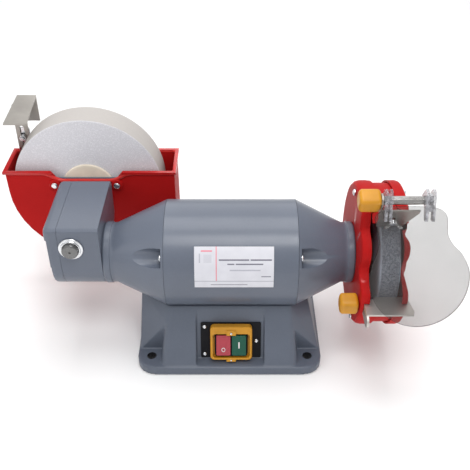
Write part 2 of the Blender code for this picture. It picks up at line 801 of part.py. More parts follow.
def guard_cover(name, profile, keep, ends):
    """A dished side cover from an (x, radius) outline; its outer part follows the scalloped edge.

    The three ends are where its lip stops over the band, at the opening and beside the band's end.
    """
    trim = min if ends[0] < DRY_LEFT else max
    rings = []
    for angle in guard_angles():
        wave = guard_edge(angle)
        ring = []
        for x, radius in profile:
            share = max(0.0, (radius - keep) / (GUARD_R - keep))
            scaled = radius - share * (1 - wave) * GUARD_R
            y, z = polar(angle, scaled)
            ring.append((trim(x, lip_end(angle, *ends)), y, z - AXIS_Z))
        rings.append(ring)
    obj = place(name, skin(bmesh.new(), rings, closed=True), RED, (0, 0, AXIS_Z))
    holes = bmesh.new()
    for degrees in GUARD_BOLTS.values():
        y, z = polar(math.radians(degrees), GUARD_BOLT_R)
        turned([(0.145, 0.0024), (0.225, 0.0024)], shape=holes, segments=TINY, centre=(-(z - AXIS_Z), y))
    boolean(obj, holes, location=(0, 0, AXIS_Z), rotation=TO_X)
    return obj


def dry_guard():
    """Two dished covers and the band between them, held by three through bolts."""
    left = GUARD_LEFT
    wall = GUARD_WALL
    corner = 0.009
    outside = [(left, 0.0330), (left, GUARD_R - corner)]
    outside += arc((left + corner, GUARD_R - corner), corner, math.pi, math.pi / 2, 3)[1:]
    outside += [(0.1705, GUARD_R), (0.1765, GUARD_R - 0.0006)]
    inside = [
        (0.1765, GUARD_R - wall + GAP),
        (0.1660, GUARD_R - wall),
        (left + wall, GUARD_R - 0.0105),
        (left + wall, 0.0330),
    ]
    inner = guard_cover("guard_inner_cover", outside + inside, 0.045, (0.1765, 0.1659, 0.1659))
    boolean(inner, block((0.1598, -0.0950, 0.1052), (0.1800, -0.0560, 0.1252)))
    boolean(inner, turned([(0.15, 0.0028), (0.165, 0.0028)], segments=TINY), rotation=TO_X,
            location=(0, REST_BOLT[0], REST_BOLT[1]))
    right = GUARD_RIGHT
    outside = [
        (right + 0.0045, 0.0030),
        (right + 0.0070, 0.0040),
        (right + 0.0070, 0.0300),
        (right, 0.0400),
        (right, GUARD_R - 0.0050),
        (right - 0.0018, GUARD_R - 0.0010),
        (right - 0.0050, GUARD_R),
        (0.1970, GUARD_R),
    ]
    inside = [
        (0.1970, GUARD_R - wall + GAP),
        (right - wall, GUARD_R - wall),
        (right - wall, 0.0420),
        (right + 0.0045, 0.0320),
    ]
    outer = guard_cover("guard_outer_cover", outside + inside, 0.045, (0.1970, 0.2039, 0.2093))
    boolean(outer, block((0.1950, -0.1000, 0.1212), (0.2160, -0.0755, 0.1252)))
    angles = guard_angles()[OPENING_STEPS:] + [BAND_END + 2 * math.pi]
    inner_r = BAND_R - BAND_WALL
    strip = [polar(angle, BAND_R) for angle in angles] + [polar(angle, inner_r) for angle in reversed(angles)]
    band = place("guard_band", prism(side(strip), 0.1672, 0.2092), RED, rotation=TO_X)
    flange = block((0.180, inner_r + GAP, -BAND_WALL), (0.196, BAND_R + 0.016, 0))
    boolean(band, flange, "UNION", location=(0, 0, AXIS_Z), rotation=(math.pi - BAND_START, 0, 0))
    drill_band(band)
    bolt = [
        (left - 0.0030, 0.0026),
        (left - 0.0020, 0.0042),
        (left - GAP, 0.0042),
        (left - GAP, 0.0019),
        (right + GAP, 0.0019),
        (right + GAP, 0.0040),
        (right + 0.0034, 0.0040),
        (right + 0.0038, 0.0019),
        (right + 0.0048, 0.0017),
    ]
    for name, degrees in GUARD_BOLTS.items():
        y, z = polar(math.radians(degrees), GUARD_BOLT_R)
        place(name, turned(bolt, segments=TINY), ZINC, (0, y, z), TO_X)


def drill_band(band):
    """The hole for the wing screw in the band's turned-up end."""
    y, z = polar(BAND_START, BAND_R + 0.010)
    hole = turned([(-0.01, 0.0024), (0.01, 0.0024)], segments=TINY)
    boolean(band, hole, location=(0.188, y, z), rotation=(math.pi - BAND_START, 0, 0))


# Eye shield and its bracket


def spark_plane():
    """A frame on the band's turned-up end: local Y runs outwards and local Z towards the operator."""
    y, z = polar(BAND_START, BAND_R)
    forward = (-math.sin(BAND_START), -math.cos(BAND_START))
    offset = 0.0006
    origin = (0.190, y + forward[0] * offset, z + forward[1] * offset)
    return frame_empty("spark_plane", origin, (math.pi - BAND_START, 0, 0))


def plane_local(plane):
    """Take a world point into a guide's frame."""
    matrix = Matrix.LocRotScale(plane.location, plane.rotation_euler, None).inverted()

    def convert(x, y, z):
        return matrix @ Vector((x, y, z))

    return convert


def spark_bracket(plane):
    """Adjustable spark plate that also carries the shield's rod in the ear at its left edge."""
    outline = [(-0.0190, -0.0050), (0.0110, -0.0050), (0.0240, 0.0300), (0.0240, 0.0360), (-0.0190, 0.0360)]
    obj = place("spark_bracket", prism(outline, 0, 0.0020), STEEL, parent=plane)
    slot = rounded(-0.0023, 0.0023, 0.0050, 0.0190, 0.0022, 3)
    boolean(obj, moved(prism(slot, -0.01, 0.01), (-0.002, 0, 0)))
    local = plane_local(plane)
    centre = local(0, ROD_Y, ROD_Z)
    ear = [(0.0180, 0.0003), (0.0180, 0.0019), (0.0300, 0.0019)]
    ear += arc((centre[1], centre[2]), 0.0078, math.radians(80), math.radians(-170), 12)
    plate = prism([(-z, y) for y, z in ear], -0.0202, -0.0180)
    boolean(obj, plate, "UNION", rotation=TO_X)
    hole = turned([(-0.05, ROD_R + GAP), (0.0, ROD_R + GAP)], segments=SMALL)
    boolean(obj, hole, location=(0, centre[1], centre[2]), rotation=TO_X)


def wing(shape, span, height, thickness, base):
    """Two raised wings in the local XZ plane."""
    for s in (-1, 1):
        outline = [(s * 0.0030, 0), (s * span * 0.75, height * 0.55), (s * span, height * 0.75),
                   (s * span * 0.95, height), (s * span * 0.6, height * 0.95), (s * 0.0030, height * 0.45)]
        if s < 0:
            outline.reverse()
        piece = prism(outline, -thickness / 2, thickness / 2)
        upright = Matrix.Rotation(math.pi / 2, 3, "X")
        bmesh.ops.rotate(piece, verts=piece.verts, cent=(0, 0, 0), matrix=upright)
        merge(shape, moved(piece, (0, 0, base)))


def wing_screw(plane):
    """The wing screw that locks the spark plate's slot to the band's turned-up end."""
    profile = [(-0.0070, 0.0019), (0.0023, 0.0019), (0.0023, 0.0048), (0.0060, 0.0040), (0.0068, 0.0030)]
    obj = place("wing_screw", turned(profile, segments=TINY), ZINC, (-0.002, 0.0100, 0), parent=plane)
    wings = bmesh.new()
    wing(wings, 0.0105, 0.0080, 0.0018, 0.0040)
    boolean(obj, wings, "UNION", location=(-0.002, 0.0100, 0))


def shield_outline():
    """A guitar-shaped window: a narrow head under the rod and a round body below."""
    head = [(0.0, -0.0048), (-0.0185, -0.0060), (-0.0202, -0.0102), (-0.0255, -0.0140), (-0.0275, -0.0205),
            (-0.0235, -0.0320), (-0.0210, -0.0440), (-0.0220, -0.0560), (-0.0275, -0.0700)]
    body = arc((0.0260, -0.0895), 0.0572, math.radians(162), math.radians(375), 26)
    tail = [(0.0690, -0.0660), (0.0590, -0.0510), (0.0545, -0.0380), (0.0545, -0.0240), (0.0530, -0.0150),
            (0.0455, -0.0080), (0.0300, -0.0055)]
    return head + body + tail


def shield(plane):
    """The rod, the clear window below it and the two clips that hold the window on the rod."""
    rod = [(-0.0355, ROD_R - 0.0006), (-0.0350, ROD_R), (0.0375, ROD_R), (0.0380, ROD_R - 0.0006)]
    place("shield_rod", turned(rod, segments=SMALL), ZINC, rotation=TO_X, parent=plane)
    window = prism(shield_outline(), SHIELD_OFFSET, SHIELD_OFFSET + SHIELD_THICKNESS)
    place("eye_shield", window, CLEAR, parent=plane)
    for name, low, high in (("shield_clip_left", -0.0175, -0.0090), ("shield_clip_right", 0.0275, 0.0385)):
        outline = [(-0.0220, 0.0041), (-0.0080, 0.0041), (-0.0055, 0.0010)]
        for angle in (math.radians(10), math.radians(60)):
            outline.append((0.0085 * math.sin(angle), -0.0085 * math.cos(angle)))
        outline += [(0.0140, 0.0040), (0.0140, 0.0100), (0.0060, 0.0130), (-0.0220, 0.0125)]
        side_view = [(-z, y) for y, z in outline]
        obj = place(name, prism(side_view, low, high), CLEAR, rotation=TO_X, parent=plane)
        boolean(obj, turned([(-0.05, ROD_R + GAP), (0.05, ROD_R + GAP)], segments=SMALL), rotation=TO_X)
        low_face = -SHIELD_OFFSET - SHIELD_THICKNESS - GAP
        high_face = -SHIELD_OFFSET + GAP
        slot = [(low_face, -0.03), (high_face, -0.03), (high_face, -0.0035), (low_face, -0.0035)]
        boolean(obj, prism(slot, -0.05, 0.05), rotation=TO_X)


def knob(name, width, size, bore, depth, location, tilt):
    """A rounded-cube clamping knob on a joint axis along X, bored from its right-hand end."""
    half = size / 2
    corner = size * 0.24
    inset = size * 0.12
    full = rounded(-half, half, -half, half, corner)
    small = rounded(-half + inset, half - inset, -half + inset, half - inset, corner)
    shape = loft([(-width, small), (-width + inset, full), (-inset * 0.6, full), (0, small)])
    obj = place(name, shape, ORANGE, location, (0.0, math.pi / 2, 0.0))
    turn_mesh(obj, tilt)
    boolean(obj, turned([(-depth, bore), (0.01, bore)]), location=location, rotation=TO_X)


def turn_mesh(obj, angle):
    """Turn a piece about its own Z without turning its axes."""
    obj.data.transform(Matrix.Rotation(angle, 4, "Z"))


# Dry tool rest


def dry_rest():
    """The bent-sheet rest in front of the dry stone, slotted on a bolt through the guard's left cover."""
    x = REST_LEG_X
    top = REST_TOP
    plate = bmesh.new()
    outline = [(x, REST_BACK - 0.004), (x + 0.012, REST_BACK - 0.004), (x + 0.0135, REST_BACK),
               (0.2120, REST_BACK), (0.2165, REST_FRONT + 0.006), (0.2150, REST_FRONT), (x, REST_FRONT)]
    outline.reverse()
    prism(outline, top - REST_THICKNESS, top, plate)
    obj = place("dry_rest", plate, STEEL)
    y, z = REST_BOLT
    leg = [(-0.0560, top - 0.0004), (-0.0560, z - 0.0080)]
    leg += [(-0.1070 + 0.0080 * math.cos(a), z + 0.0080 * math.sin(a)) for a in
            (math.radians(d) for d in (-90, -120, -150, -180, -210, -240))]
    leg += [(-0.1055, top - 0.0004)]
    boolean(obj, prism(side(leg), x - GAP, x + REST_THICKNESS), "UNION", rotation=TO_X)
    slot = [(-0.0980 + 0.0028 * math.sin(a), z + 0.0028 * math.cos(a)) for a in
            (math.radians(d) for d in (180, 225, 270, 315, 360))]
    slot += [(y + 0.0068 + 0.0028 * math.sin(a), z + 0.0028 * math.cos(a)) for a in
             (math.radians(d) for d in (0, 45, 90, 135, 180))]
    boolean(obj, prism(side(slot), x - 0.01, x + 0.01), rotation=TO_X)
    bolt = [(-0.0110, 0.0022), (0.0082, 0.0022), (0.0082, 0.0050), (0.0105, 0.0050), (0.0113, 0.0040)]
    place("dry_rest_bolt", turned(bolt, segments=TINY), ZINC, (GUARD_LEFT, y, z), TO_X)


# Gearbox and wet side


def box_outline(inset):
    """The gearbox seen from its end, as world (y, z): flat top, round underside about the motor shaft."""
    r = NECK_R - inset
    top = BOX_TOP - inset
    front = BOX_FRONT + inset
    back = BOX_BACK - inset
    corner = 0.006
    points = [(front + corner * (1 - math.sin(a)), top - corner * (1 - math.cos(a))) for a in
              (0, math.pi / 6, math.pi / 3, math.pi / 2)]
    points += [(r * math.cos(a), AXIS_Z + r * math.sin(a)) for a in
               (math.radians(d) for d in range(180, 326, 16))]
    points += [(back, 0.143 + inset), (back, top - corner), (back - corner, top)]
    return points


def gear_housing():
    """The gearbox, open to the left, with the neck and the ears' bar that carry the wet side."""
    shell = prism(side(box_outline(0)), BOX_LEFT, BOX_RIGHT)
    obj = place("gear_housing", shell, PAINT, rotation=TO_X)
    neck = turned([(-0.0030, 0.0148), (0.0176, 0.0148)], segments=MEDIUM)
    boolean(obj, neck, "UNION", (WET_X, BOX_BACK, WET_Z), TO_Y)
    bar = prism(rounded(EAR_X[0] - 0.008, EAR_X[1] + 0.008, EAR_Z - 0.0085, EAR_Z + 0.0075, 0.004),
                -0.0956, -TRAY_FRONT - TRAY_WALL - GAP)
    boolean(obj, bar, "UNION", rotation=TO_FRONT)
    boolean(obj, prism(side(box_outline(BOX_WALL)), BOX_LEFT - 0.01, BOX_RIGHT - BOX_WALL), rotation=TO_X)
    shaft = turned([(-0.06, WET_SHAFT_R + 0.0030), (0.12, WET_SHAFT_R + 0.0030)], segments=MEDIUM)
    boolean(obj, shaft, location=(WET_X, 0, WET_Z), rotation=TO_Y)
    motor_side = turned([(-0.17, 0.0120), (-0.14, 0.0120)], segments=SMALL)
    boolean(obj, motor_side, location=(0, 0, AXIS_Z), rotation=TO_X)
    taps = bmesh.new()
    for x in EAR_X:
        turned([(-0.10, 0.0023), (-0.08, 0.0023)], shape=taps, segments=TINY, centre=(x, EAR_Z))
    boolean(obj, taps, rotation=TO_FRONT)


def gear_cover():
    """The cover closes the gearbox's left end and holds the worm's end bearing."""
    right = BOX_LEFT - GAP
    levels = [
        (COVER_LEFT, side(box_outline(0.009))),
        (COVER_LEFT + 0.0035, side(box_outline(0.0025))),
        (COVER_LEFT + 0.009, side(box_outline(0))),
        (right, side(box_outline(0))),
    ]
    obj = place("gear_cover", loft(levels), PAINT, rotation=TO_X)
    boolean(obj, prism(side(box_outline(COVER_RIM)), COVER_LEFT + 0.0035, right + 0.01), rotation=TO_X)
    seat_right = right - 0.0035
    seat_bore = END_BEARING_R + GAP
    seat = turned([(COVER_LEFT + 0.0020, 0.0180), (seat_right, 0.0180)], bore=seat_bore, segments=MEDIUM)
    boolean(obj, seat, "UNION", location=(0, 0, AXIS_Z), rotation=TO_X)
    bearing = [(COVER_LEFT + 0.0042, END_BEARING_R), (COVER_LEFT + 0.0122, END_BEARING_R)]
    place("worm_end_bearing", turned(bearing, bore=0.0053, segments=MEDIUM), ZINC, (0, 0, AXIS_Z), TO_X)


def front_end():
    """The wet shaft's bushes, and the stepped washer on the gearbox's front face."""
    bore = WET_SHAFT_R + GAP
    bush_r = WET_SHAFT_R + 0.0030 - GAP
    for name, low, high in (("front_bush", -0.0380, -0.0200), ("rear_bush", 0.0600, 0.0900)):
        place(name, turned([(low, bush_r), (high, bush_r)], bore=bore), BRONZE, (WET_X, 0, WET_Z), TO_Y)
    stack = [(-0.0424, 0.0122), (-0.0405, 0.0125), (-0.0405, 0.0142), (-0.0398, 0.0150), (-0.0383, 0.0150)]
    place("shaft_washer", turned(stack, bore=bore), ZINC, (WET_X, 0, WET_Z), TO_Y)


def wet_side():
    """The slow shaft with the wet stone between its two hubs and the nut that clamps them."""
    shaft = [
        (-0.0470, 0.0085),
        (-0.0460, WET_SHAFT_R),
        (0.1425, WET_SHAFT_R),
        (0.1425, 0.0080),
        (0.1482, 0.0080),
    ]
    place("wet_shaft", turned(shaft, segments=SMALL), STEEL, (WET_X, 0, WET_Z), TO_Y)
    stone = [
        (WET_FRONT, WET_R - 0.001),
        (WET_FRONT + 0.001, WET_R),
        (WET_BACK - 0.001, WET_R),
        (WET_BACK, WET_R - 0.001),
    ]
    bore = WET_SHAFT_R + GAP
    place("wet_stone", turned(stone, bore=bore, segments=ROUND), WET_GRIT, (WET_X, 0, WET_Z), TO_Y)
    front = [(0.0960, 0.0150), (0.0968, 0.0340), (0.0980, 0.0360), (0.0997, 0.0360)]
    place("front_hub", turned(front, bore=bore, segments=MEDIUM), CREAM, (WET_X, 0, WET_Z), TO_Y)
    rear = [(0.1403, 0.0360), (0.1418, 0.0360), (0.1423, 0.0340)]
    place("rear_hub", turned(rear, bore=bore, segments=MEDIUM), CREAM, (WET_X, 0, WET_Z), TO_Y)
    place("wet_nut", nut(0.024, 0.0097, 0.1428, 0.1475), ZINC, (WET_X, 0, WET_Z), TO_Y)


def tray_outline(inset):
    """The water tray seen from the front, as world (x, z): it follows the stone on the left and below."""
    r = TRAY_ARC_R - inset
    left = TRAY_LEFT + inset
    start = math.pi
    end = math.radians(306)
    points = [(left, TRAY_TOP + inset)]
    points += arc((WET_X, WET_Z), r, start, end, 14)
    points += [(TRAY_RIGHT - 0.006 - inset, 0.1060 + inset), (TRAY_RIGHT - inset, 0.1150 + inset)]
    points += [(TRAY_RIGHT - inset, TRAY_TOP + inset)]
    return points


def water_tray():
    """The tray round the wet stone: lipped, dipped at the front, and screwed to the gearbox by two ears."""
    body = prism(tray_outline(0), -TRAY_BACK, -TRAY_FRONT)
    obj = place("water_tray", body, RED, rotation=TO_FRONT)
    lip = block((TRAY_LEFT - TRAY_LIP, TRAY_FRONT - 0.0022, TRAY_TOP - 0.0035),
                (TRAY_RIGHT + 0.0022, TRAY_BACK + 0.0022, TRAY_TOP + 0.00001))
    boolean(obj, lip, "UNION")
    ear = [(-TRAY_FRONT - 0.001, 0.0075), (-TRAY_FRONT + 0.0030, 0.0075), (-TRAY_FRONT + 0.0035, 0.0070)]
    ears = bmesh.new()
    for x in EAR_X:
        turned(ear, shape=ears, segments=MEDIUM, centre=(x, EAR_Z))
    boolean(obj, ears, "UNION", rotation=TO_FRONT)
    hollow = prism(tray_outline(TRAY_WALL), -TRAY_BACK + TRAY_WALL, -TRAY_FRONT - TRAY_WALL)
    boolean(obj, hollow, rotation=TO_FRONT)
    over = TRAY_TOP + 0.007
    dip = [(-0.2420, over), (-0.2270, DIP_Z), (WET_X - DIP_R, DIP_Z)]
    dip += arc((WET_X, WET_Z), DIP_R, math.pi, 2 * math.pi, 12)
    dip += [(WET_X + DIP_R, DIP_Z), (-0.1530, DIP_Z), (-0.1360, over)]
    boolean(obj, prism(dip, -TRAY_FRONT - 0.004, -TRAY_FRONT + 0.005), rotation=TO_FRONT)
    drills = bmesh.new()
    for x in EAR_X:
        turned([(-0.10, 0.0024), (-0.08, 0.0024)], shape=drills, segments=TINY, centre=(x, EAR_Z))
    boolean(obj, drills, rotation=TO_FRONT)
    profile = [(-0.0110, 0.0019), (0, 0.0019), (0, 0.0042), (0.0016, 0.0042), (0.0026, 0.0026)]
    for name, x in (("tray_screw_left", EAR_X[0]), ("tray_screw_right", EAR_X[1])):
        place(name, turned(profile, segments=TINY), ZINC, (x, TRAY_FRONT - 0.0035 - GAP, EAR_Z), TO_FRONT)


# Wet tool rest


def wet_rest_bracket():
    """A strip screwed inside the tray's back wall that carries the wet tool rest."""
    strip = prism(rounded(-0.2905, -0.2715, 0.1760, 0.2340, 0.004), -BRACKET_BACK, -LEG_BACK - GAP)
    obj = place("wet_rest_bracket", strip, STEEL, rotation=TO_FRONT)
    hole = turned([(-0.16, 0.0028), (-0.13, 0.0028)], segments=TINY, centre=(REST_BOLT_X, REST_BOLT_Z))
    boolean(obj, hole, rotation=TO_FRONT)


def wet_rest():
    """Bent sheet rest: a table over the stone's shoulder, a slotted leg and a stiffening fold at the back."""
    table = [(-0.2848, 0.0860), (-0.2550, 0.0860), (-0.2575, 0.1120), (-0.2615, 0.1700), (-0.2875, 0.1700)]
    obj = place("wet_rest", prism(table, TABLE_TOP - TABLE_THICKNESS, TABLE_TOP), STEEL)
    top = TABLE_TOP - 0.0006
    leg = prism(rounded(-0.2895, -0.2725, 0.2035, top, 0.004, 3), -LEG_BACK, -LEG_FRONT)
    boolean(obj, leg, "UNION", rotation=TO_FRONT)
    fold = block((-0.2873, 0.1680, 0.2330), (-0.2617, 0.1698, top))
    boolean(obj, fold, "UNION")
    slot = prism(rounded(-0.0028, 0.0028, -0.0128, 0.0168, 0.0027, 3), -0.16, -0.13)
    boolean(obj, moved(slot, (REST_BOLT_X, REST_BOLT_Z, 0)), rotation=TO_FRONT)


def wet_rest_clamp():
    """The bolt and nut that lock the wet tool rest's slot."""
    spot = (REST_BOLT_X, 0, REST_BOLT_Z)
    bolt = [(-0.1520, 0.0046), (-0.1515, 0.0050), (-0.1486, 0.0050), (-0.1486, 0.0024), (-0.1355, 0.0024)]
    place("wet_rest_bolt", turned(bolt, segments=TINY), ZINC, spot, TO_FRONT)
    place("wet_rest_nut", nut(0.0080, 0.0030, GAP - LEG_FRONT, -0.1390), ZINC, spot, TO_FRONT)


def build():
    clear_scene()
    frame_empty("switch_plane", SWITCH_CENTRE, (math.pi / 2 - SWITCH_SLOPE, 0, 0))
    base_casting()
    base_plate()
    cable_gland()
    capacitor()
    switch()
    motor_shell()
    end_bell("left_end_bell", SHELL_LEFT, CONE_LEFT, NECK_LEFT, BEARINGS["left_bearing"], -1)
    end_bell("right_end_bell", SHELL_RIGHT, CONE_RIGHT, NECK_RIGHT, BEARINGS["right_bearing"], 1)
    tie_bolts()
    motor_inside()
    type_plate()
    rotor()
    worm()
    worm_wheel()
    dry_wheel()
    dry_guard()
    plane = spark_plane()
    spark_bracket(plane)
    wing_screw(plane)
    shield(frame_empty("shield_plane", (0.190, ROD_Y, ROD_Z), (SHIELD_LEAN, 0, 0)))
    on_rod = (0.1695, ROD_Y, ROD_Z)
    on_bolt = (GUARD_LEFT - GAP, *REST_BOLT)
    knob("shield_knob", BIG_KNOB, BIG_KNOB * 0.86, ROD_R + GAP, 0.016, on_rod, math.radians(20))
    knob("rest_knob", SMALL_KNOB, SMALL_KNOB * 0.95, 0.0026, 0.0120, on_bolt, math.radians(8))
    dry_rest()
    gear_housing()
    gear_cover()
    front_end()
    wet_side()
    water_tray()
    wet_rest_bracket()
    wet_rest()
    wet_rest_clamp()


build()
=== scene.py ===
"""Looks for the combination bench grinder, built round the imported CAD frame. Metres, in the CAD's own frame.

Each piece starts as a temporary raw object, built like its CAD node but finer. It is then baked, given round
edges and a material, and set riding on its node's body, where it stands in for the node.
"""

import json
import math
from functools import partial

import bmesh
import bpy
from mathutils import Matrix, Vector

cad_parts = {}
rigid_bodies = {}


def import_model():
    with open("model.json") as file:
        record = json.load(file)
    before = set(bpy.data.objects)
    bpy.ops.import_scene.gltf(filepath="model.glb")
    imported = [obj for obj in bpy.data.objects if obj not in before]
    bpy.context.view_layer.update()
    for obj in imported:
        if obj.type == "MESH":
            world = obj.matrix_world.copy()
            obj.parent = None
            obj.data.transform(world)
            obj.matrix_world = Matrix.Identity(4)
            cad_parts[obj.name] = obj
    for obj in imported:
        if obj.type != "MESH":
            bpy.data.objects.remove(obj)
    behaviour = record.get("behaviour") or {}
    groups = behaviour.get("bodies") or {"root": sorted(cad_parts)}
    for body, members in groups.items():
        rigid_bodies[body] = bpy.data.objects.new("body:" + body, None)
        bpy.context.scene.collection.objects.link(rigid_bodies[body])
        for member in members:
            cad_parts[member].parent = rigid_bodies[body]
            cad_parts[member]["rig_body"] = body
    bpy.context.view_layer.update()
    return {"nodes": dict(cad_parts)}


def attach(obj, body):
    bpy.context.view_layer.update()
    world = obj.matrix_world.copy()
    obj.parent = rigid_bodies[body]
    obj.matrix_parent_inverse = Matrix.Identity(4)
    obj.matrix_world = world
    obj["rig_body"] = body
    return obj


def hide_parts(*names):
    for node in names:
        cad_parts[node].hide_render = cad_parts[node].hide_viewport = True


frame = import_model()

# Frame. GAP is the clearance between neighbours, and AXIS_Z is the height of the motor's axis.
GAP = 0.0003
AXIS_Z = 0.134
ORIGIN = (0.0, 0.0, 0.0)
TO_X = (0.0, math.pi / 2, 0.0)
TO_Y = (-math.pi / 2, 0.0, 0.0)
TO_FRONT = (math.pi / 2, 0.0, 0.0)
ON_MOTOR = {"location": (0, 0, AXIS_Z), "rotation": TO_X}

# Segments round a circle, from the largest pieces to the smallest
ROUND = 144
MEDIUM = 72
SMALL = 48
TINY = 24

# The domed head that all the small screws and bolts share
HEAD_R = 0.0042
HEAD_TOP_R = 0.0026

# Motor
MOTOR_R = 0.067
MOTOR_WALL = 0.004
SHELL_LEFT = -0.0780
SHELL_RIGHT = 0.0830
CONE_LEFT = -0.1410
CONE_RIGHT = 0.1410
NECK_R = 0.038
NECK_LEFT = -0.1552
NECK_RIGHT = 0.1547
BEARING_R = 0.020
BEARINGS = {"left_bearing": (-0.1460, -0.1340), "right_bearing": (0.1350, 0.1470)}
TIE_BOLTS = {"tie_bolt_front": 30, "tie_bolt_back": 150, "tie_bolt_bottom": 270}
TIE_R = 0.0590
TIE_BOLT_R = 0.0019
TIE_HOLE_R = 0.0023
TROUGH_CENTRE = 0.0610
TROUGH_R = 0.0120
TROUGH_WALL = 0.0022
TROUGH_LENGTH = 0.0340
END_WALL = 0.0030
LABEL_LEFT = -0.0410
LABEL_RIGHT = 0.0533
LABEL_ANGLES = (math.radians(-1.5), math.radians(42.7))

# Base
BASE_HALF_X = 0.119
BASE_HALF_Y = 0.085
BASE_CORNER = 0.024
FLANGE_TOP = 0.012
FLANGE_EDGE = 0.0015
SADDLE_TOP = 0.0835
HOLE_X = 0.101
HOLE_Y = 0.063
HOLE_R = 0.0058
PLATE_THICKNESS = 0.002
BACK_SLOPE = math.atan2(0.0825 - 0.0465, SADDLE_TOP - 0.010)
GLAND_PLACE = (0.045, 0.0717, 0.032)
GLAND_TURN = (BACK_SLOPE - math.pi / 2, 0.0, 0.0)

# Switch, on the sloping back of the recess
SWITCH_SLOPE = math.radians(15.95)
SWITCH_CENTRE = (0.0019, -0.0600, 0.0385)
SWITCH_OFFSET = (0.0005, 0.0, 0.0)
SWITCH_DEPTH = 0.0283
RECESS_LEFT = -0.042
RECESS_RIGHT = 0.0445

# Gearbox
WET_X = -0.190
WET_Z = 0.168
BOX_LEFT = -0.205
BOX_RIGHT = -0.1555
BOX_FRONT = -0.038
BOX_BACK = 0.077
BOX_TOP = 0.195
BOX_WALL = 0.0025
COVER_LEFT = -0.222
WET_SHAFT_R = 0.010
ON_WET_SHAFT = {"location": (WET_X, 0, WET_Z), "rotation": TO_Y}

# Wet stone and its tray
WET_R = 0.100
WET_FRONT = 0.100
WET_BACK = 0.140
TRAY_TOP = 0.198
TRAY_WALL = 0.0026
TRAY_LEFT = -0.297
TRAY_RIGHT = -0.073
TRAY_FRONT = 0.090
TRAY_BACK = 0.1512
TRAY_ARC_R = 0.1065
TRAY_LIP = 0.0032
TRAY_RIM = 0.0022
DIP_Z = 0.1838
DIP_LEFT = (-0.2420, -0.2270, -0.2087)
DIP_RIGHT = (-0.1713, -0.1530, -0.1360)
EAR_X = (-0.233, -0.150)
EAR_Z = 0.179

# Dry wheel and its guard
DRY_R = 0.075
DRY_LEFT = 0.178
DRY_RIGHT = 0.202
DRY_MIDDLE = 0.190
GUARD_R = 0.091
GUARD_LEFT = 0.155
GUARD_WALL = 0.0025
GUARD_RIGHT = 0.212
BAND_R = 0.0878
BAND_WALL = 0.0022
BAND_START = math.radians(60)
BAND_END = math.radians(-16)
OPENING_STEPS = 76
BACK_STEPS = 96
GUARD_FLAT_R = 0.045
GUARD_BOLT_R = 0.0805
GUARD_BOLTS = {"guard_bolt_top": 102, "guard_bolt_back": 200, "guard_bolt_bottom": 306}

# Dry tool rest
REST_TOP = 0.1245
REST_FRONT = -0.108
REST_BACK = -0.0765
REST_THICKNESS = 0.0025
REST_LEG_X = 0.1603
REST_BOLT = (-0.076, 0.1140)
SMALL_KNOB = 0.0222

# Wet tool rest
REST_BOLT_X = -0.2810
REST_BOLT_Z = 0.2210
BRACKET_BACK = 0.1483
LEG_BACK = 0.1457
LEG_FRONT = 0.1437
TABLE_TOP = 0.2705
ON_WET_REST = {"location": (REST_BOLT_X, 0, REST_BOLT_Z), "rotation": TO_FRONT}

# Eye shield
ROD_Y = -0.056
ROD_Z = 0.249
ROD_R = 0.005
SHIELD_LEAN = math.radians(67.2)
SHIELD_THICKNESS = 0.0025
SHIELD_OFFSET = 0.0063
BIG_KNOB = 0.0250
BIG_KNOB_X = 0.1695
WING_SPOT = (-0.002, 0.0100, 0)
DIMPLE = (0.0570, -0.1060)
DIMPLE_DEPTH = 0.0017
DIMPLE_SPHERE = 0.0370

# Material slots, as the CAD names them
PAINT = "grey_blue_paint"
BASE_PAINT = "base_paint"
RED = "red_paint"
STEEL = "steel"
ZINC = "zinc_plated_steel"
DARK_STEEL = "dark_steel"
COPPER = "copper_winding"
BRONZE = "bronze"
BLACK = "black_plastic"
YELLOW = "yellow_plastic"
ORANGE = "orange_knob_plastic"
STOP_RED = "stop_red_plastic"
START_GREEN = "start_green_plastic"
WET_GRIT = "wet_stone_grit"
DRY_GRIT = "dry_stone_grit"
CREAM = "cream_plastic"
CLEAR = "clear_plastic"
WHITE = "white_label"

# Finishes of pieces that look different from the rest of their slot
# The clips' pale clear plastic is a painted highlight
CLIP = "clip_clear_plastic"
MARK = "mark_white"
POLISHED = "polished_rod"
# The tray's bead: a brighter red, as painted highlight
HIGHLIT_RED_BEAD = "red_bead"
BELL_PAINT = "bell_paint"
SHAFT_END = "shaft_end_steel"
REST_STEEL = "rest_steel"


# Temporary objects


def place(name, shape, spec, location=ORIGIN, rotation=ORIGIN, parent=None, finish=None):
    """Turn a bmesh into a temporary object with its slot and, where it differs, its finish."""
    bmesh.ops.remove_doubles(shape, verts=shape.verts, dist=0.000001)
    bmesh.ops.recalc_face_normals(shape, faces=shape.faces)
    mesh = bpy.data.meshes.new(name)
    shape.to_mesh(mesh)
    shape.free()
    obj = bpy.data.objects.new("raw_" + name, mesh)
    obj["slot"] = spec
    if finish:
        obj["finish"] = finish
    obj.location = location
    obj.rotation_euler = rotation
    obj.parent = parent
    bpy.context.scene.collection.objects.link(obj)
    return obj


def frame_empty(name, location, rotation=ORIGIN):
    """A guide that carries pieces standing on a sloping plane or a joint's axis."""
    empty = bpy.data.objects.new(name, None)
    empty.location = location
    empty.rotation_euler = rotation
    bpy.context.scene.collection.objects.link(empty)
    return empty


def boolean(obj, shape, operation="DIFFERENCE", location=ORIGIN, rotation=ORIGIN):
    """Cut a shape from an object, or join it on."""
    cutter = place("cutter", shape, STEEL, location, rotation, obj.parent)
    cutter["cutter"] = True
    cutter.hide_render = True
    modifier = obj.modifiers.new("cut", "BOOLEAN")
    modifier.operation = operation
    modifier.solver = "EXACT"
    modifier.object = cutter
    return cutter


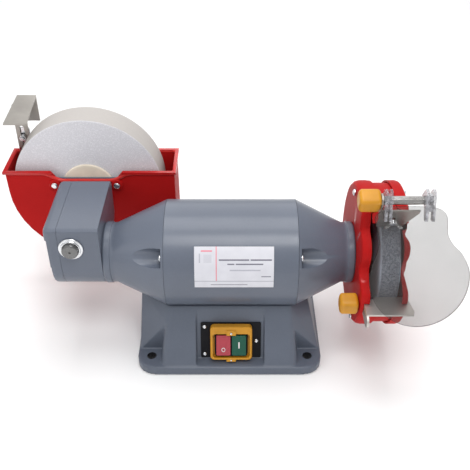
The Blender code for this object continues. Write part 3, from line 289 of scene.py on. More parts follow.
def baked(obj):
    """The object's finished mesh, in the CAD's frame."""
    bpy.context.view_layer.update()
    graph = bpy.context.evaluated_depsgraph_get()
    mesh = bpy.data.meshes.new_from_object(obj.evaluated_get(graph), depsgraph=graph)
    mesh.transform(obj.matrix_world)
    return mesh


# Mesh builders. Each adds one closed body to a bmesh.


def skin(shape, rings, closed=False):
    """Join rings of points by quads. An open stack gets a cap at each end, a closed one runs round."""
    rows = [[shape.verts.new(point) for point in ring] for ring in rings]
    count = len(rows)
    for i in range(count if closed else count - 1):
        low = rows[i]
        high = rows[(i + 1) % count]
        for j in range(len(low)):
            k = (j + 1) % len(low)
            shape.faces.new((low[j], low[k], high[k], high[j]))
    if not closed:
        shape.faces.new(list(reversed(rows[0])))
        shape.faces.new(rows[-1])
    return shape


def circle(radius, height, segments, centre=(0.0, 0.0)):
    """Points of a level circle."""
    points = []
    for i in range(segments):
        angle = 2 * math.pi * i / segments
        points.append((centre[0] + radius * math.cos(angle), centre[1] + radius * math.sin(angle), height))
    return points


def turned(profile, bore=0.0, segments=SMALL, shape=None, centre=(0.0, 0.0)):
    """A turned body from (height, radius) points along local Z. A bore makes it a ring."""
    shape = shape or bmesh.new()
    rings = [circle(radius, height, segments, centre) for height, radius in profile]
    if bore:
        rings.append(circle(bore, profile[-1][0], segments, centre))
        rings.append(circle(bore, profile[0][0], segments, centre))
    return skin(shape, rings, closed=bool(bore))


def cylinder(low, high, radius, **options):
    """A plain cylinder along local Z, or a sleeve if it's given a bore."""
    return turned([(low, radius), (high, radius)], **options)


def ring_profile(profile, segments):
    """A hollow turned body from a closed (height, radius) outline."""
    return skin(bmesh.new(), [circle(radius, height, segments) for height, radius in profile], closed=True)


def prism(outline, low, high, shape=None, chamfer=0.0, centre=(0.0, 0.0)):
    """Extrude an (x, y) outline along local Z, with an optional chamfer on its upper edge."""
    shape = shape or bmesh.new()
    rings = [[(x, y, low) for x, y in outline], [(x, y, high - chamfer) for x, y in outline]]
    if chamfer:
        size = max(math.hypot(x - centre[0], y - centre[1]) for x, y in outline)
        k = 1 - chamfer / size
        top = [(centre[0] + k * (x - centre[0]), centre[1] + k * (y - centre[1]), high) for x, y in outline]
        rings.append(top)
    return skin(shape, rings)


def block(low, high, shape=None):
    """A box between two corners."""
    outline = [(low[0], low[1]), (high[0], low[1]), (high[0], high[1]), (low[0], high[1])]
    return prism(outline, low[2], high[2], shape)


def arc(centre, radius, start, end, steps):
    """Points of an arc in a plane, from start to end angle."""
    points = []
    for i in range(steps + 1):
        angle = start + (end - start) * i / steps
        points.append((centre[0] + radius * math.cos(angle), centre[1] + radius * math.sin(angle)))
    return points


def rounded(left, right, low, high, radius, steps=4):
    """A rectangle with round corners, counter-clockwise."""
    quarter = math.pi / 2
    corners = ((right, low, -1), (right, high, 0), (left, high, 1), (left, low, 2))
    points = []
    middle = ((left + right) / 2, (low + high) / 2)
    for x, y, turn in corners:
        centre = (x + math.copysign(radius, middle[0] - x), y + math.copysign(radius, middle[1] - y))
        points += arc(centre, radius, turn * quarter, (turn + 1) * quarter, steps)
    return points


def loft(levels):
    """Skin (x, y) outlines at their heights."""
    return skin(bmesh.new(), [[(x, y, height) for x, y in outline] for height, outline in levels])


def side(points):
    """An outline drawn in world (y, z), as local (x, y) of a piece laid along X by TO_X."""
    return [(-z, y) for y, z in points]


def polar(angle, radius):
    """World (y, z) on a circle round the motor axis; angle 0 points at the operator."""
    return (-radius * math.cos(angle), AXIS_Z + radius * math.sin(angle))


def moved(shape, offset):
    """The shape itself, shifted."""
    bmesh.ops.translate(shape, verts=shape.verts, vec=Vector(offset))
    return shape


def merge(shape, other):
    """Add another shape's bodies to a shape."""
    mesh = bpy.data.meshes.new("piece")
    other.to_mesh(mesh)
    other.free()
    shape.from_mesh(mesh)
    bpy.data.meshes.remove(mesh)
    return shape


def nut(across, bore, low, high):
    """A hexagon nut with its bore, along local Z."""
    outer = [(x, y) for x, y, _ in circle(across / math.sqrt(3), 0, 6)]
    inner = [(bore * math.cos(math.pi / 3 * i), bore * math.sin(math.pi / 3 * i)) for i in range(6)]
    rings = [[(x, y, low) for x, y in outer], [(x, y, high) for x, y in outer]]
    rings += [[(x, y, high) for x, y in inner], [(x, y, low) for x, y in inner]]
    return skin(bmesh.new(), rings, closed=True)


def smooth_line(points, steps=8):
    """A closed smooth line through the points."""
    count = len(points)
    line = []
    for i in range(count):
        a, b, c, d = (Vector(points[(i + k - 1) % count]) for k in range(4))
        for step in range(steps):
            t = step / steps
            line.append(tuple(0.5 * (2 * b + (c - a) * t + (2 * a - 5 * b + 4 * c - d) * t * t
                                     + (3 * b - a - 3 * c + d) * t ** 3)))
    return line


def filleted(points, radius, steps=6):
    """A closed 3-D line through the points with its corners rounded."""
    line = []
    for i, point in enumerate(points):
        corner = Vector(point)
        before = Vector(points[i - 1]) - corner
        after = Vector(points[(i + 1) % len(points)]) - corner
        start = corner + before.normalized() * min(radius, before.length * 0.45)
        end = corner + after.normalized() * min(radius, after.length * 0.45)
        for step in range(steps + 1):
            t = step / steps
            line.append(start * (1 - t) ** 2 + corner * 2 * t * (1 - t) + end * t * t)
    return line


def tube(line, radius, segments=16):
    """A closed round bead that follows a line."""
    rings = []
    count = len(line)
    normal = None
    for i, point in enumerate(line):
        ahead = (line[(i + 1) % count] - line[i - 1]).normalized()
        if normal is None:
            normal = ahead.orthogonal().normalized()
        normal = (normal - ahead * normal.dot(ahead)).normalized()
        across = ahead.cross(normal)
        rings.append([point + radius * (math.cos(a) * normal + math.sin(a) * across)
                      for a in (2 * math.pi * k / segments for k in range(segments))])
    return skin(bmesh.new(), rings, closed=True)


# Base and motor


def motor_envelope(extra):
    """The outside of the whole motor, for cutting its saddle in the base."""
    neck = NECK_R + extra
    full = MOTOR_R + extra
    profile = [(-0.17, neck), (CONE_LEFT, neck), (SHELL_LEFT, full), (SHELL_RIGHT, full), (CONE_RIGHT, neck),
               (0.17, neck)]
    return turned(profile, segments=ROUND)


# One half of each of the base's flared wings, front to back: foot, pedestal corner, pedestal top, outer top
WING_LEFT = ((-0.1172, 0.0490, 0.0100), (-0.0650, 0.0490, 0.0100), (-0.0795, 0.0557, 0.0630),
             (-0.0770, 0.0455, 0.0835), (-0.1130, 0.0170, 0.0850))
WING_RIGHT = ((0.1172, 0.0490, 0.0100), (0.0650, 0.0490, 0.0100), (0.0800, 0.0580, 0.0580),
              (0.0775, 0.0455, 0.0835), (0.0990, 0.0170, 0.0850))


def hull(points):
    """The convex body of some points and their mirror images across the motor's middle plane."""
    shape = bmesh.new()
    for x, y, z in points:
        shape.verts.new((x, y, z))
        shape.verts.new((x, -y, z))
    bmesh.ops.convex_hull(shape, input=shape.verts)
    return shape


def base_casting():
    """Flange, pedestal and wings, cut for the motor, the works, the switch, the bolts and the mains inlet."""
    low = rounded(-BASE_HALF_X, BASE_HALF_X, -BASE_HALF_Y, BASE_HALF_Y, BASE_CORNER)
    top_x = BASE_HALF_X - FLANGE_EDGE
    top_y = BASE_HALF_Y - FLANGE_EDGE
    top = rounded(-top_x, top_x, -top_y, top_y, BASE_CORNER)
    flange = loft([(0, low), (FLANGE_TOP - FLANGE_EDGE, low), (FLANGE_TOP, top)])
    obj = place("base_casting", flange, BASE_PAINT)
    pedestal = loft(
        [
            (0.004, rounded(-0.0886, 0.0886, -0.0838, 0.0838, 0.009)),
            (0.010, rounded(-0.0880, 0.0880, -0.0825, 0.0825, 0.009)),
            (SADDLE_TOP, rounded(-0.0785, 0.0795, -0.0465, 0.0465, 0.006)),
        ]
    )
    boolean(obj, pedestal, "UNION")
    for wing_points in (WING_LEFT, WING_RIGHT):
        boolean(obj, hull(wing_points), "UNION")
    boolean(obj, motor_envelope(GAP), **ON_MOTOR)
    cavity = loft(
        [
            (PLATE_THICKNESS - 0.001, rounded(-0.078, 0.078, -0.0600, 0.0690, 0.008)),
            (0.060, rounded(-0.072, 0.072, -0.0435, 0.0420, 0.008)),
        ]
    )
    boolean(obj, cavity)
    pocket = prism(rounded(-0.0883, 0.0883, -0.0683, 0.0773, 0.008), -0.001, PLATE_THICKNESS + GAP)
    boolean(obj, pocket)
    front = -0.100
    bottom = FLANGE_TOP + 0.0005
    slope = math.tan(SWITCH_SLOPE)
    foot = SWITCH_CENTRE[1] - (SWITCH_CENTRE[2] - bottom) * slope
    head = SADDLE_TOP + 0.010
    outline = [(front, bottom), (foot, bottom), (foot + (head - bottom) * slope, head), (front, head)]
    recess = boolean(obj, prism(side(outline), RECESS_LEFT, RECESS_RIGHT), rotation=TO_X)
    recess["recess"] = True
    window = prism(rounded(-0.0225, 0.0225, -0.0195, 0.0195, 0.002), -SWITCH_DEPTH, 0.006)
    slot = boolean(obj, window)
    slot.parent = bpy.data.objects["switch_plane"]
    slot.location = SWITCH_OFFSET
    holes = bmesh.new()
    for x in (-HOLE_X, HOLE_X):
        for y in (-HOLE_Y, HOLE_Y):
            cylinder(-0.001, 0.020, HOLE_R, shape=holes, centre=(x, y))
    boolean(obj, holes)
    boolean(obj, cylinder(-0.035, 0.010, 0.0083), location=GLAND_PLACE, rotation=GLAND_TURN)


def base_plate():
    """The sheet that closes the base's underside, sprung into its pocket."""
    plate = prism(rounded(-0.088, 0.088, -0.068, 0.077, 0.008), 0, PLATE_THICKNESS)
    place("base_plate", plate, STEEL)


def cable_gland():
    """The moulded mains inlet at the back of the base."""
    profile = [
        (-0.014, 0.0078), (0.0006, 0.0078), (0.0006, 0.0115), (0.004, 0.0115), (0.005, 0.0085),
        (0.016, 0.0070),
    ]
    place("cable_gland", turned(profile, bore=0.0038), BLACK, GLAND_PLACE, GLAND_TURN)


def switch():
    """Magnetic safety switch: black plate, yellow frame, red stop and green start buttons."""
    plane = bpy.data.objects["switch_plane"]
    centre = SWITCH_OFFSET
    sheet = prism(rounded(-0.0384, 0.0384, -0.0250, 0.0250, 0.002), GAP, 0.0023)
    plate = place("switch_plate", sheet, BLACK, parent=plane)
    body = prism(rounded(-0.0215, 0.0215, -0.0185, 0.0185, 0.002), -0.0235, 0.0010)
    boolean(plate, body, "UNION", location=centre)
    outer = rounded(-0.0265, 0.0265, -0.0235, 0.0235, 0.005, 10)
    ring = prism(outer, 0.0026, 0.0120, chamfer=0.0010)
    surround = place("switch_frame", ring, YELLOW, centre, parent=plane)
    mouth = prism(rounded(-0.0235, 0.0235, -0.0208, 0.0135, 0.004, 8), 0.0055, 0.0200)
    boolean(surround, mouth, location=centre)
    throat = prism(rounded(-0.0210, 0.0210, -0.0190, 0.0125, 0.003, 8), 0.0010, 0.0070)
    boolean(surround, throat, location=centre)
    tabs = bmesh.new()
    block((-0.0060, 0.0120, 0.0070), (0.0060, 0.0185, 0.0135), tabs)
    block((-0.0060, -0.0262, 0.0035), (0.0060, -0.0222, 0.0115), tabs)
    boolean(surround, tabs, "UNION", location=centre)
    for name, spec, low, high in (
        ("stop_button", STOP_RED, -0.0190, -0.0008),
        ("start_button", START_GREEN, 0.0008, 0.0190),
    ):
        middle = ((low + high) / 2, -0.003)
        outline = rounded(low, high, -0.0172, 0.0112, 0.0015)
        cap = prism(outline, 0.0055, 0.0125, chamfer=0.0008, centre=middle)
        place(name, cap, spec, centre, parent=plane)


def motor_shell():
    """The tube between the two end bells, with its wire hole into the base."""
    profile = [(SHELL_LEFT + GAP / 2, MOTOR_R), (SHELL_RIGHT - GAP / 2, MOTOR_R)]
    tube_shape = turned(profile, bore=MOTOR_R - MOTOR_WALL, segments=ROUND)
    obj = place("motor_shell", tube_shape, PAINT, **ON_MOTOR)
    boolean(obj, cylinder(0, 0.03, 0.0065, segments=TINY), location=(0, 0, 0.0597))


def tie_spots():
    """Where the tie bolts run, in the local (x, y) of a piece laid along the motor. Angle 0 is the front."""
    spots = []
    for degrees in TIE_BOLTS.values():
        y, z = polar(math.radians(degrees), TIE_R)
        spots.append((AXIS_Z - z, y))
    return spots


def trough_wall(spot, seam, cone, direction):
    """The wall behind a tie bolt's trough, along local Z, kept inside the bell's cone."""
    outward = Vector(spot).normalized()
    across = Vector((-outward.y, outward.x))
    reach = TROUGH_R + TROUGH_WALL
    below_skin = 0.0010
    steps = 12
    rings = []
    for i in range(steps + 1):
        along = GAP + TROUGH_LENGTH * i / steps
        limit = MOTOR_R + (NECK_R - MOTOR_R) * along / abs(cone - seam) - below_skin
        ring = []
        for x, y, _ in circle(reach, 0, MEDIUM):
            point = outward * (TROUGH_CENTRE + x) + across * y
            if point.length > limit:
                point *= limit / point.length
            ring.append((point.x, point.y, seam + direction * along))
        rings.append(ring)
    return skin(bmesh.new(), rings)


def end_bell(name, seam, cone, neck, bearing, direction):
    """A cone-shaped end shield with its bearing seat, from the shell's seam out to its neck."""
    d = direction
    start = seam + d * GAP / 2
    seat_in = bearing[0] if d > 0 else bearing[1]
    seat_out = bearing[1] if d > 0 else bearing[0]
    wall = MOTOR_WALL
    seat_r = BEARING_R + GAP
    outline = [
        (start, MOTOR_R), (cone, NECK_R), (cone + d * 0.0052, NECK_R),
        (cone + d * 0.0056, NECK_R + 0.0009), (neck - d * 0.0018, NECK_R + 0.0009),
        (neck, NECK_R - 0.0004), (neck, 0.0120), (seat_out + d * GAP, 0.0120),
        (seat_out + d * GAP, seat_r), (seat_in - d * 0.0005, seat_r),
        (seat_in - d * 0.0005, seat_r + 0.004), (cone - d * 0.018, NECK_R + 0.001),
        (start + d * 0.003, MOTOR_R - wall - 0.001), (start, MOTOR_R - wall - 0.001),
    ]
    obj = place(name, ring_profile(outline, segments=ROUND), PAINT, finish=BELL_PAINT, **ON_MOTOR)
    near = start + d * END_WALL
    walls = bmesh.new()
    troughs = bmesh.new()
    holes = bmesh.new()
    for spot in tie_spots():
        merge(walls, trough_wall(spot, seam, cone, d))
        centre = Vector(spot) * (TROUGH_CENTRE / TIE_R)
        turned(sorted([(near, TROUGH_R), (cone, TROUGH_R)]), shape=troughs, segments=ROUND, centre=centre)
        through = sorted([(start - d * 0.01, TIE_HOLE_R), (near + d * 0.001, TIE_HOLE_R)])
        turned(through, shape=holes, segments=TINY, centre=spot)
    boolean(obj, walls, "UNION", **ON_MOTOR)
    boolean(obj, troughs, **ON_MOTOR)
    boolean(obj, holes, **ON_MOTOR)


def tie_bolts():
    """Long bolts that clamp both end bells to the shell, each with its nut drawn up at the right-hand end."""
    left = SHELL_LEFT - GAP / 2 - END_WALL - GAP
    right = SHELL_RIGHT + GAP / 2 + END_WALL + GAP
    profile = [
        (left - 0.0028, HEAD_TOP_R), (left - 0.0016, HEAD_R), (left, HEAD_R), (left, TIE_BOLT_R),
        (right, TIE_BOLT_R), (right, HEAD_R), (right + 0.0016, HEAD_R), (right + 0.0028, HEAD_TOP_R),
    ]
    for name, (x, y) in zip(TIE_BOLTS, tie_spots()):
        place(name, turned(profile, segments=TINY), ZINC, (0, y, AXIS_Z - x), TO_X)


def type_plate():
    """The label: a thin curved plate on the motor's front."""
    outer = MOTOR_R + 0.0008
    inner = MOTOR_R + GAP
    low, high = LABEL_ANGLES
    steps = 40
    ring_out = [polar(low + (high - low) * i / steps, outer) for i in range(steps + 1)]
    ring_in = [polar(high + (low - high) * i / steps, inner) for i in range(steps + 1)]
    place("type_plate", prism(side(ring_out + ring_in), LABEL_LEFT, LABEL_RIGHT), WHITE, rotation=TO_X)


# Dry wheel


def dry_wheel():
    """The fast stone with the flange and nut that clamp it to the rotor's shaft."""
    stone = [
        (DRY_LEFT, 0.0730), (DRY_LEFT + 0.0015, DRY_R), (DRY_RIGHT - 0.0015, DRY_R), (DRY_RIGHT, 0.0730),
    ]
    place("dry_stone", turned(stone, bore=0.0066, segments=ROUND), DRY_GRIT, **ON_MOTOR)
    outer = [(0.2023, 0.028), (0.2045, 0.027), (0.2065, 0.018)]
    place("dry_outer_flange", turned(outer, bore=0.0066), ZINC, **ON_MOTOR)
    place("dry_wheel_nut", nut(0.019, 0.0075, 0.2068, 0.2140), ZINC, **ON_MOTOR)


# Dry wheel guard


def scallops(angle):
    """How far each of the opening's two scallops reaches at an angle, from 0 to 1."""
    turn = math.degrees(angle)
    return math.exp(-(((turn - 56) / 8) ** 2)), math.exp(-(((turn - 18) / 12) ** 2))


def ramp(value, low, high):
    """A smooth step from 0 at low to 1 at high."""
    t = min(1.0, max(0.0, (value - low) / (high - low)))
    return t * t * (3 - 2 * t)


def guard_edge(angle):
    """The side covers' radius as a share of the full one: cut back, with two scallops, at the opening."""
    turn = math.degrees(angle)
    opening = ramp(turn, 1, 11) * (1 - ramp(turn, 59, 67))
    upper, lower = scallops(angle)
    return 1 - 0.10 * opening - 0.075 * upper - 0.17 * lower


def lip_end(angle, full, open_edge, band_edge):
    """Where a cover's lip ends: over the band, short at the opening, and clear of the band between them."""
    if angle < BAND_END + 0.03 or angle > BAND_START + math.radians(10):
        return full
    return open_edge if angle < BAND_START - math.radians(3) else band_edge


def guard_angles():
    """Angles round the guard, fine over the opening and coarser behind it."""
    fine = [BAND_END + (BAND_START - BAND_END) * i / OPENING_STEPS for i in range(OPENING_STEPS)]
    edge = [BAND_START + math.radians(4) * i for i in range(4)]
    start = BAND_START + math.radians(16)
    end = BAND_END + 2 * math.pi
    coarse = [start + (end - start) * i / BACK_STEPS for i in range(BACK_STEPS)]
    return fine + edge + coarse


def guard_cover(name, profile, ends):
    """A side cover from an (x, radius) outline; its outer part follows the scalloped edge.

    The three ends are where its lip stops over the band, at the opening and beside the band's end.
    """
    trim = min if ends[0] < DRY_LEFT else max
    rings = []
    for angle in guard_angles():
        wave = guard_edge(angle)
        ring = []
        for x, radius in profile:
            share = max(0.0, (radius - GUARD_FLAT_R) / (GUARD_R - GUARD_FLAT_R))
            scaled = radius - share * (1 - wave) * GUARD_R
            y, z = polar(angle, scaled)
            if ends[0] > DRY_LEFT:
                x -= share * 0.0065 * max(scallops(angle))
            ring.append((trim(x, lip_end(angle, *ends)), y, z - AXIS_Z))
        rings.append(ring)
    obj = place(name, skin(bmesh.new(), rings, closed=True), RED, (0, 0, AXIS_Z))
    holes = bmesh.new()
    for degrees in GUARD_BOLTS.values():
        y, z = polar(math.radians(degrees), GUARD_BOLT_R)
        cylinder(0.145, 0.225, 0.0024, shape=holes, segments=TINY, centre=(-(z - AXIS_Z), y))
    boolean(obj, holes, **ON_MOTOR)
    return obj


def guard_inner_cover():
    """The cover on the motor's side, with a slot for the tool rest and a hole for its bolt."""
    left = GUARD_LEFT
    wall = GUARD_WALL
    corner = 0.009
    outside = [(left, 0.0330), (left, GUARD_R - corner)]
    for i in range(1, 4):
        angle = math.pi - math.pi / 2 * i / 3
        x = left + corner + corner * math.cos(angle)
        outside.append((x, GUARD_R - corner + corner * math.sin(angle)))
    outside += [(0.1705, GUARD_R), (0.1765, GUARD_R - 0.0006)]
    inside = [(0.1765, GUARD_R - wall + GAP), (0.1660, GUARD_R - wall), (left + wall, GUARD_R - 0.0105),
              (left + wall, 0.0330)]
    cover = guard_cover("guard_inner_cover", outside + inside, (0.1765, 0.1659, 0.1659))
    boolean(cover, block((0.1598, -0.0950, 0.1052), (0.1800, -0.0560, 0.1252)))
    hole = cylinder(0.15, 0.165, 0.0028, segments=TINY)
    boolean(cover, hole, rotation=TO_X, location=(0, REST_BOLT[0], REST_BOLT[1]))


def guard_outer_cover():
    """The dished cover on the outer side, with a notch for the tool rest."""
    right = GUARD_RIGHT
    wall = GUARD_WALL
    outside = [
        (right + 0.0045, 0.0030), (right + 0.0070, 0.0040), (right + 0.0070, 0.0300), (right, 0.0400),
        (right, GUARD_R - 0.0050), (right - 0.0018, GUARD_R - 0.0010), (right - 0.0050, GUARD_R),
        (0.1970, GUARD_R),
    ]
    inside = [
        (0.1970, GUARD_R - wall + GAP), (right - wall, GUARD_R - wall), (right - wall, 0.0420),
        (right + 0.0045, 0.0320),
    ]
    cover = guard_cover("guard_outer_cover", outside + inside, (0.1970, 0.2039, 0.2093))
    boolean(cover, block((0.1950, -0.1000, 0.1212), (0.2160, -0.0755, 0.1252)))


def drill_band(band):
    """The hole for the wing screw in the band's turned-up end."""
    y, z = polar(BAND_START, BAND_R + 0.010)
    hole = cylinder(-0.01, 0.01, 0.0024, segments=TINY)
    boolean(band, hole, location=(0.188, y, z), rotation=(math.pi - BAND_START, 0, 0))


def guard_band():
    """The strip round the wheel, its upper end turned out to carry the spark bracket."""
    angles = guard_angles()[OPENING_STEPS:] + [BAND_END + 2 * math.pi]
    inner_r = BAND_R - BAND_WALL
    strip = [polar(angle, BAND_R) for angle in angles] + [polar(angle, inner_r) for angle in reversed(angles)]
    band = place("guard_band", prism(side(strip), 0.1672, 0.2092), RED, rotation=TO_X)
    end = block((0.180, inner_r + 0.0003, -BAND_WALL), (0.196, BAND_R + 0.016, 0))
    boolean(band, end, "UNION", location=(0, 0, AXIS_Z), rotation=(math.pi - BAND_START, 0, 0))
    drill_band(band)


def guard_bolts():
    """Bolts through both covers, each with its nut on the outer side."""
    left = GUARD_LEFT
    right = GUARD_RIGHT
    bolt = [
        (left - 0.0030, HEAD_TOP_R), (left - 0.0020, HEAD_R), (left - GAP, HEAD_R), (left - GAP, 0.0019),
        (right + GAP, 0.0019), (right + GAP, 0.0040), (right + 0.0034, 0.0040), (right + 0.0038, 0.0019),
        (right + 0.0048, 0.0017),
    ]
    for name, degrees in GUARD_BOLTS.items():
        y, z = polar(math.radians(degrees), GUARD_BOLT_R)
        place(name, turned(bolt, segments=TINY), ZINC, (0, y, z), TO_X)


# Eye shield and its bracket


def spark_plane():
    """A frame on the band's turned-up end: local Y runs outwards and local Z towards the operator."""
    y, z = polar(BAND_START, BAND_R)
    forward = (-math.sin(BAND_START), -math.cos(BAND_START))
    offset = 0.0006
    origin = (DRY_MIDDLE, y + forward[0] * offset, z + forward[1] * offset)
    return frame_empty("spark_plane", origin, (math.pi - BAND_START, 0, 0))


def spark_bracket(plane):
    """Adjustable spark plate that also carries the shield's rod in the ear at its left edge."""
    outline = [(-0.0190, -0.0050), (0.0110, -0.0050), (0.0240, 0.0300), (0.0240, 0.0360), (-0.0190, 0.0360)]
    obj = place("spark_bracket", prism(outline, 0, 0.0020), STEEL, parent=plane)
    slot = rounded(-0.0023, 0.0023, 0.0050, 0.0190, 0.0022, 3)
    boolean(obj, moved(prism(slot, -0.01, 0.01), (-0.002, 0, 0)))
    into_plane = Matrix.LocRotScale(plane.location, plane.rotation_euler, None).inverted()
    centre = into_plane @ Vector((0, ROD_Y, ROD_Z))
    ear = [(0.0180, 0.0003), (0.0180, 0.0019), (0.0300, 0.0019)]
    ear += arc((centre[1], centre[2]), 0.0078, math.radians(80), math.radians(-170), 12)
    plate = prism(side(ear), -0.0202, -0.0180)
    boolean(obj, plate, "UNION", rotation=TO_X)
    hole = cylinder(-0.05, 0.0, ROD_R + GAP)
    boolean(obj, hole, location=(0, centre[1], centre[2]), rotation=TO_X)


def wing(shape, span, height, thickness, base):
    """Two raised wings in the local XZ plane."""
    for s in (-1, 1):
        outline = [(s * 0.0030, 0), (s * span * 0.75, height * 0.55), (s * span, height * 0.75),
                   (s * span * 0.95, height), (s * span * 0.6, height * 0.95), (s * 0.0030, height * 0.45)]
        if s < 0:
            outline.reverse()
        piece = prism(outline, -thickness / 2, thickness / 2)
        upright = Matrix.Rotation(math.pi / 2, 3, "X")
        bmesh.ops.rotate(piece, verts=piece.verts, cent=(0, 0, 0), matrix=upright)
        merge(shape, moved(piece, (0, 0, base)))


def wing_screw(plane):
    """The screw that clamps the spark bracket to the band."""
    profile = [(-0.0070, 0.0019), (0.0023, 0.0019), (0.0023, 0.0048), (0.0060, 0.0040), (0.0068, 0.0030)]
    obj = place("wing_screw", turned(profile, segments=TINY), ZINC, WING_SPOT, parent=plane)
    wings = bmesh.new()
    wing(wings, span=0.0105, height=0.0080, thickness=0.0018, base=0.0040)
    boolean(obj, wings, "UNION", location=WING_SPOT)


def shield_outline():
    """A guitar-shaped window: a narrow head under the rod and a round body below."""
    head = [(0.0, -0.0050), (-0.0180, -0.0064), (-0.0208, -0.0108), (-0.0255, -0.0145), (-0.0273, -0.0210),
            (-0.0240, -0.0320), (-0.0214, -0.0440), (-0.0226, -0.0560), (-0.0270, -0.0690)]
    body = arc((0.0260, -0.0895), 0.0568, math.radians(168), math.radians(372), 12)
    tail = [(0.0725, -0.0600), (0.0610, -0.0480), (0.0550, -0.0370), (0.0540, -0.0250), (0.0520, -0.0150),
            (0.0450, -0.0085), (0.0300, -0.0058)]
    return smooth_line(head + body + tail, 6)


def shield(plane):
    """The rod, the window with its moulded dimple, and the two clips."""
    rod = [(-0.0355, ROD_R - 0.0006), (-0.0350, ROD_R), (0.0375, ROD_R), (0.0380, ROD_R - 0.0006)]
    place("shield_rod", turned(rod), ZINC, rotation=TO_X, parent=plane, finish=POLISHED)
    window = prism(shield_outline(), SHIELD_OFFSET, SHIELD_OFFSET + SHIELD_THICKNESS)
    pane = place("eye_shield", window, CLEAR, parent=plane)
    dish = bmesh.new()
    bmesh.ops.create_uvsphere(dish, u_segments=96, v_segments=64, radius=DIMPLE_SPHERE)
    middle = SHIELD_OFFSET + SHIELD_THICKNESS - DIMPLE_DEPTH + DIMPLE_SPHERE
    boolean(pane, dish, location=(*DIMPLE, middle))
    for name, low, high in (("shield_clip_left", -0.0175, -0.0090), ("shield_clip_right", 0.0275, 0.0385)):
        clip(name, low, high, plane)
        rod_hole = cylinder(-0.05, 0.05, ROD_R + GAP)
        boolean(bpy.data.objects["raw_" + name], rod_hole, rotation=TO_X)


def clip(name, low, high, plane):
    """A clear clamp: two peaked fins joined round the rod, with a slot for the window."""
    around = [(0.0088 * math.sin(a), -0.0088 * math.cos(a)) for a in
              (math.radians(d) for d in range(0, 80, 10))]
    fin = [(-0.0215, 0.0046), (-0.0080, 0.0041), (-0.0055, 0.0010)] + around
    fin += [(0.0118, 0.0030), (0.0140, 0.0072), (0.0105, 0.0112), (0.0055, 0.0128), (-0.0060, 0.0118),
            (-0.0130, 0.0126), (-0.0220, 0.0108)]
    inner = [(-0.0110, 0.0041), (-0.0080, 0.0041), (-0.0055, 0.0010)] + around
    inner += [(0.0088, 0.0035), (0.0080, 0.0085), (0.0030, 0.0105), (-0.0110, 0.0105)]
    fins = bmesh.new()
    wall = 0.0033
    inset = 0.0004
    bridge = prism(side(inner), low + inset, high - inset)
    obj = place(name, bridge, CLEAR, rotation=TO_X, parent=plane, finish=CLIP)
    prism(side(fin), low, low + wall, fins)
    prism(side(fin), high - wall, high, fins)
    boolean(obj, fins, "UNION", rotation=TO_X)
    low_face = -SHIELD_OFFSET - SHIELD_THICKNESS - GAP
    high_face = -SHIELD_OFFSET + GAP
    slot = [(low_face, -0.03), (high_face, -0.03), (high_face, -0.0035), (low_face, -0.0035)]
    boolean(obj, prism(slot, -0.05, 0.05), rotation=TO_X)


def rounded_cube(width, size, corner, bulge):
    """A rounded cube along local Z, from -width to 0, its ends rounded by the bulge."""
    half = size / 2
    levels = []
    for step in range(9):
        angle = math.pi / 2 * step / 8
        inset = bulge * (1 - math.sin(angle))
        levels.append((-width + bulge * (1 - math.cos(angle)), inset))
    levels += [(-height - width, inset) for height, inset in reversed(levels)]
    outlines = []
    for height, inset in levels:
        reach = half - inset
        outlines.append((height, rounded(-reach, reach, -reach, reach, max(corner - inset * 0.3, 0.001), 8)))
    return loft(outlines)


def knob(name, width, size, bore, depth, location, tilt):
    """A clamping knob on a joint axis along X, bored from its right-hand end."""
    cube = rounded_cube(width, size, size * 0.26, size * 0.20)
    obj = place(name, cube, ORANGE, location, TO_X)
    obj.data.transform(Matrix.Rotation(tilt, 4, "Z"))
    boolean(obj, cylinder(-depth, 0.01, bore), location=location, rotation=TO_X)


# Dry tool rest


def dry_rest():
    """Sheet rest: a table, and a slotted leg along the guard's left face, with its bolt."""
    x = REST_LEG_X
    top = REST_TOP
    outline = [(x, REST_BACK - 0.004), (x + 0.012, REST_BACK - 0.004), (x + 0.0135, REST_BACK),
               (0.2120, REST_BACK), (0.2165, REST_FRONT + 0.006), (0.2150, REST_FRONT), (x, REST_FRONT)]
    outline.reverse()
    obj = place("dry_rest", prism(outline, top - REST_THICKNESS, top), STEEL, finish=REST_STEEL)
    y, z = REST_BOLT
    leg = [(-0.0560, top - 0.0004), (-0.0560, z - 0.0080)]
    leg += [(-0.1070 + 0.0080 * math.cos(a), z + 0.0080 * math.sin(a)) for a in
            (math.radians(d) for d in (-90, -120, -150, -180, -210, -240))]
    leg += [(-0.1055, top - 0.0004)]
    boolean(obj, prism(side(leg), x - GAP, x + REST_THICKNESS), "UNION", rotation=TO_X)
    slot = [(-0.0980 + 0.0028 * math.sin(a), z + 0.0028 * math.cos(a)) for a in
            (math.radians(d) for d in (180, 225, 270, 315, 360))]
    slot += [(y + 0.0068 + 0.0028 * math.sin(a), z + 0.0028 * math.cos(a)) for a in
             (math.radians(d) for d in (0, 45, 90, 135, 180))]
    boolean(obj, prism(side(slot), x - 0.01, x + 0.01), rotation=TO_X)
    bolt = [(-0.0110, 0.0022), (0.0082, 0.0022), (0.0082, 0.0050), (0.0105, 0.0050), (0.0113, 0.0040)]
    place("dry_rest_bolt", turned(bolt, segments=TINY), ZINC, (GUARD_LEFT, y, z), TO_X)


# Gearbox and wet side


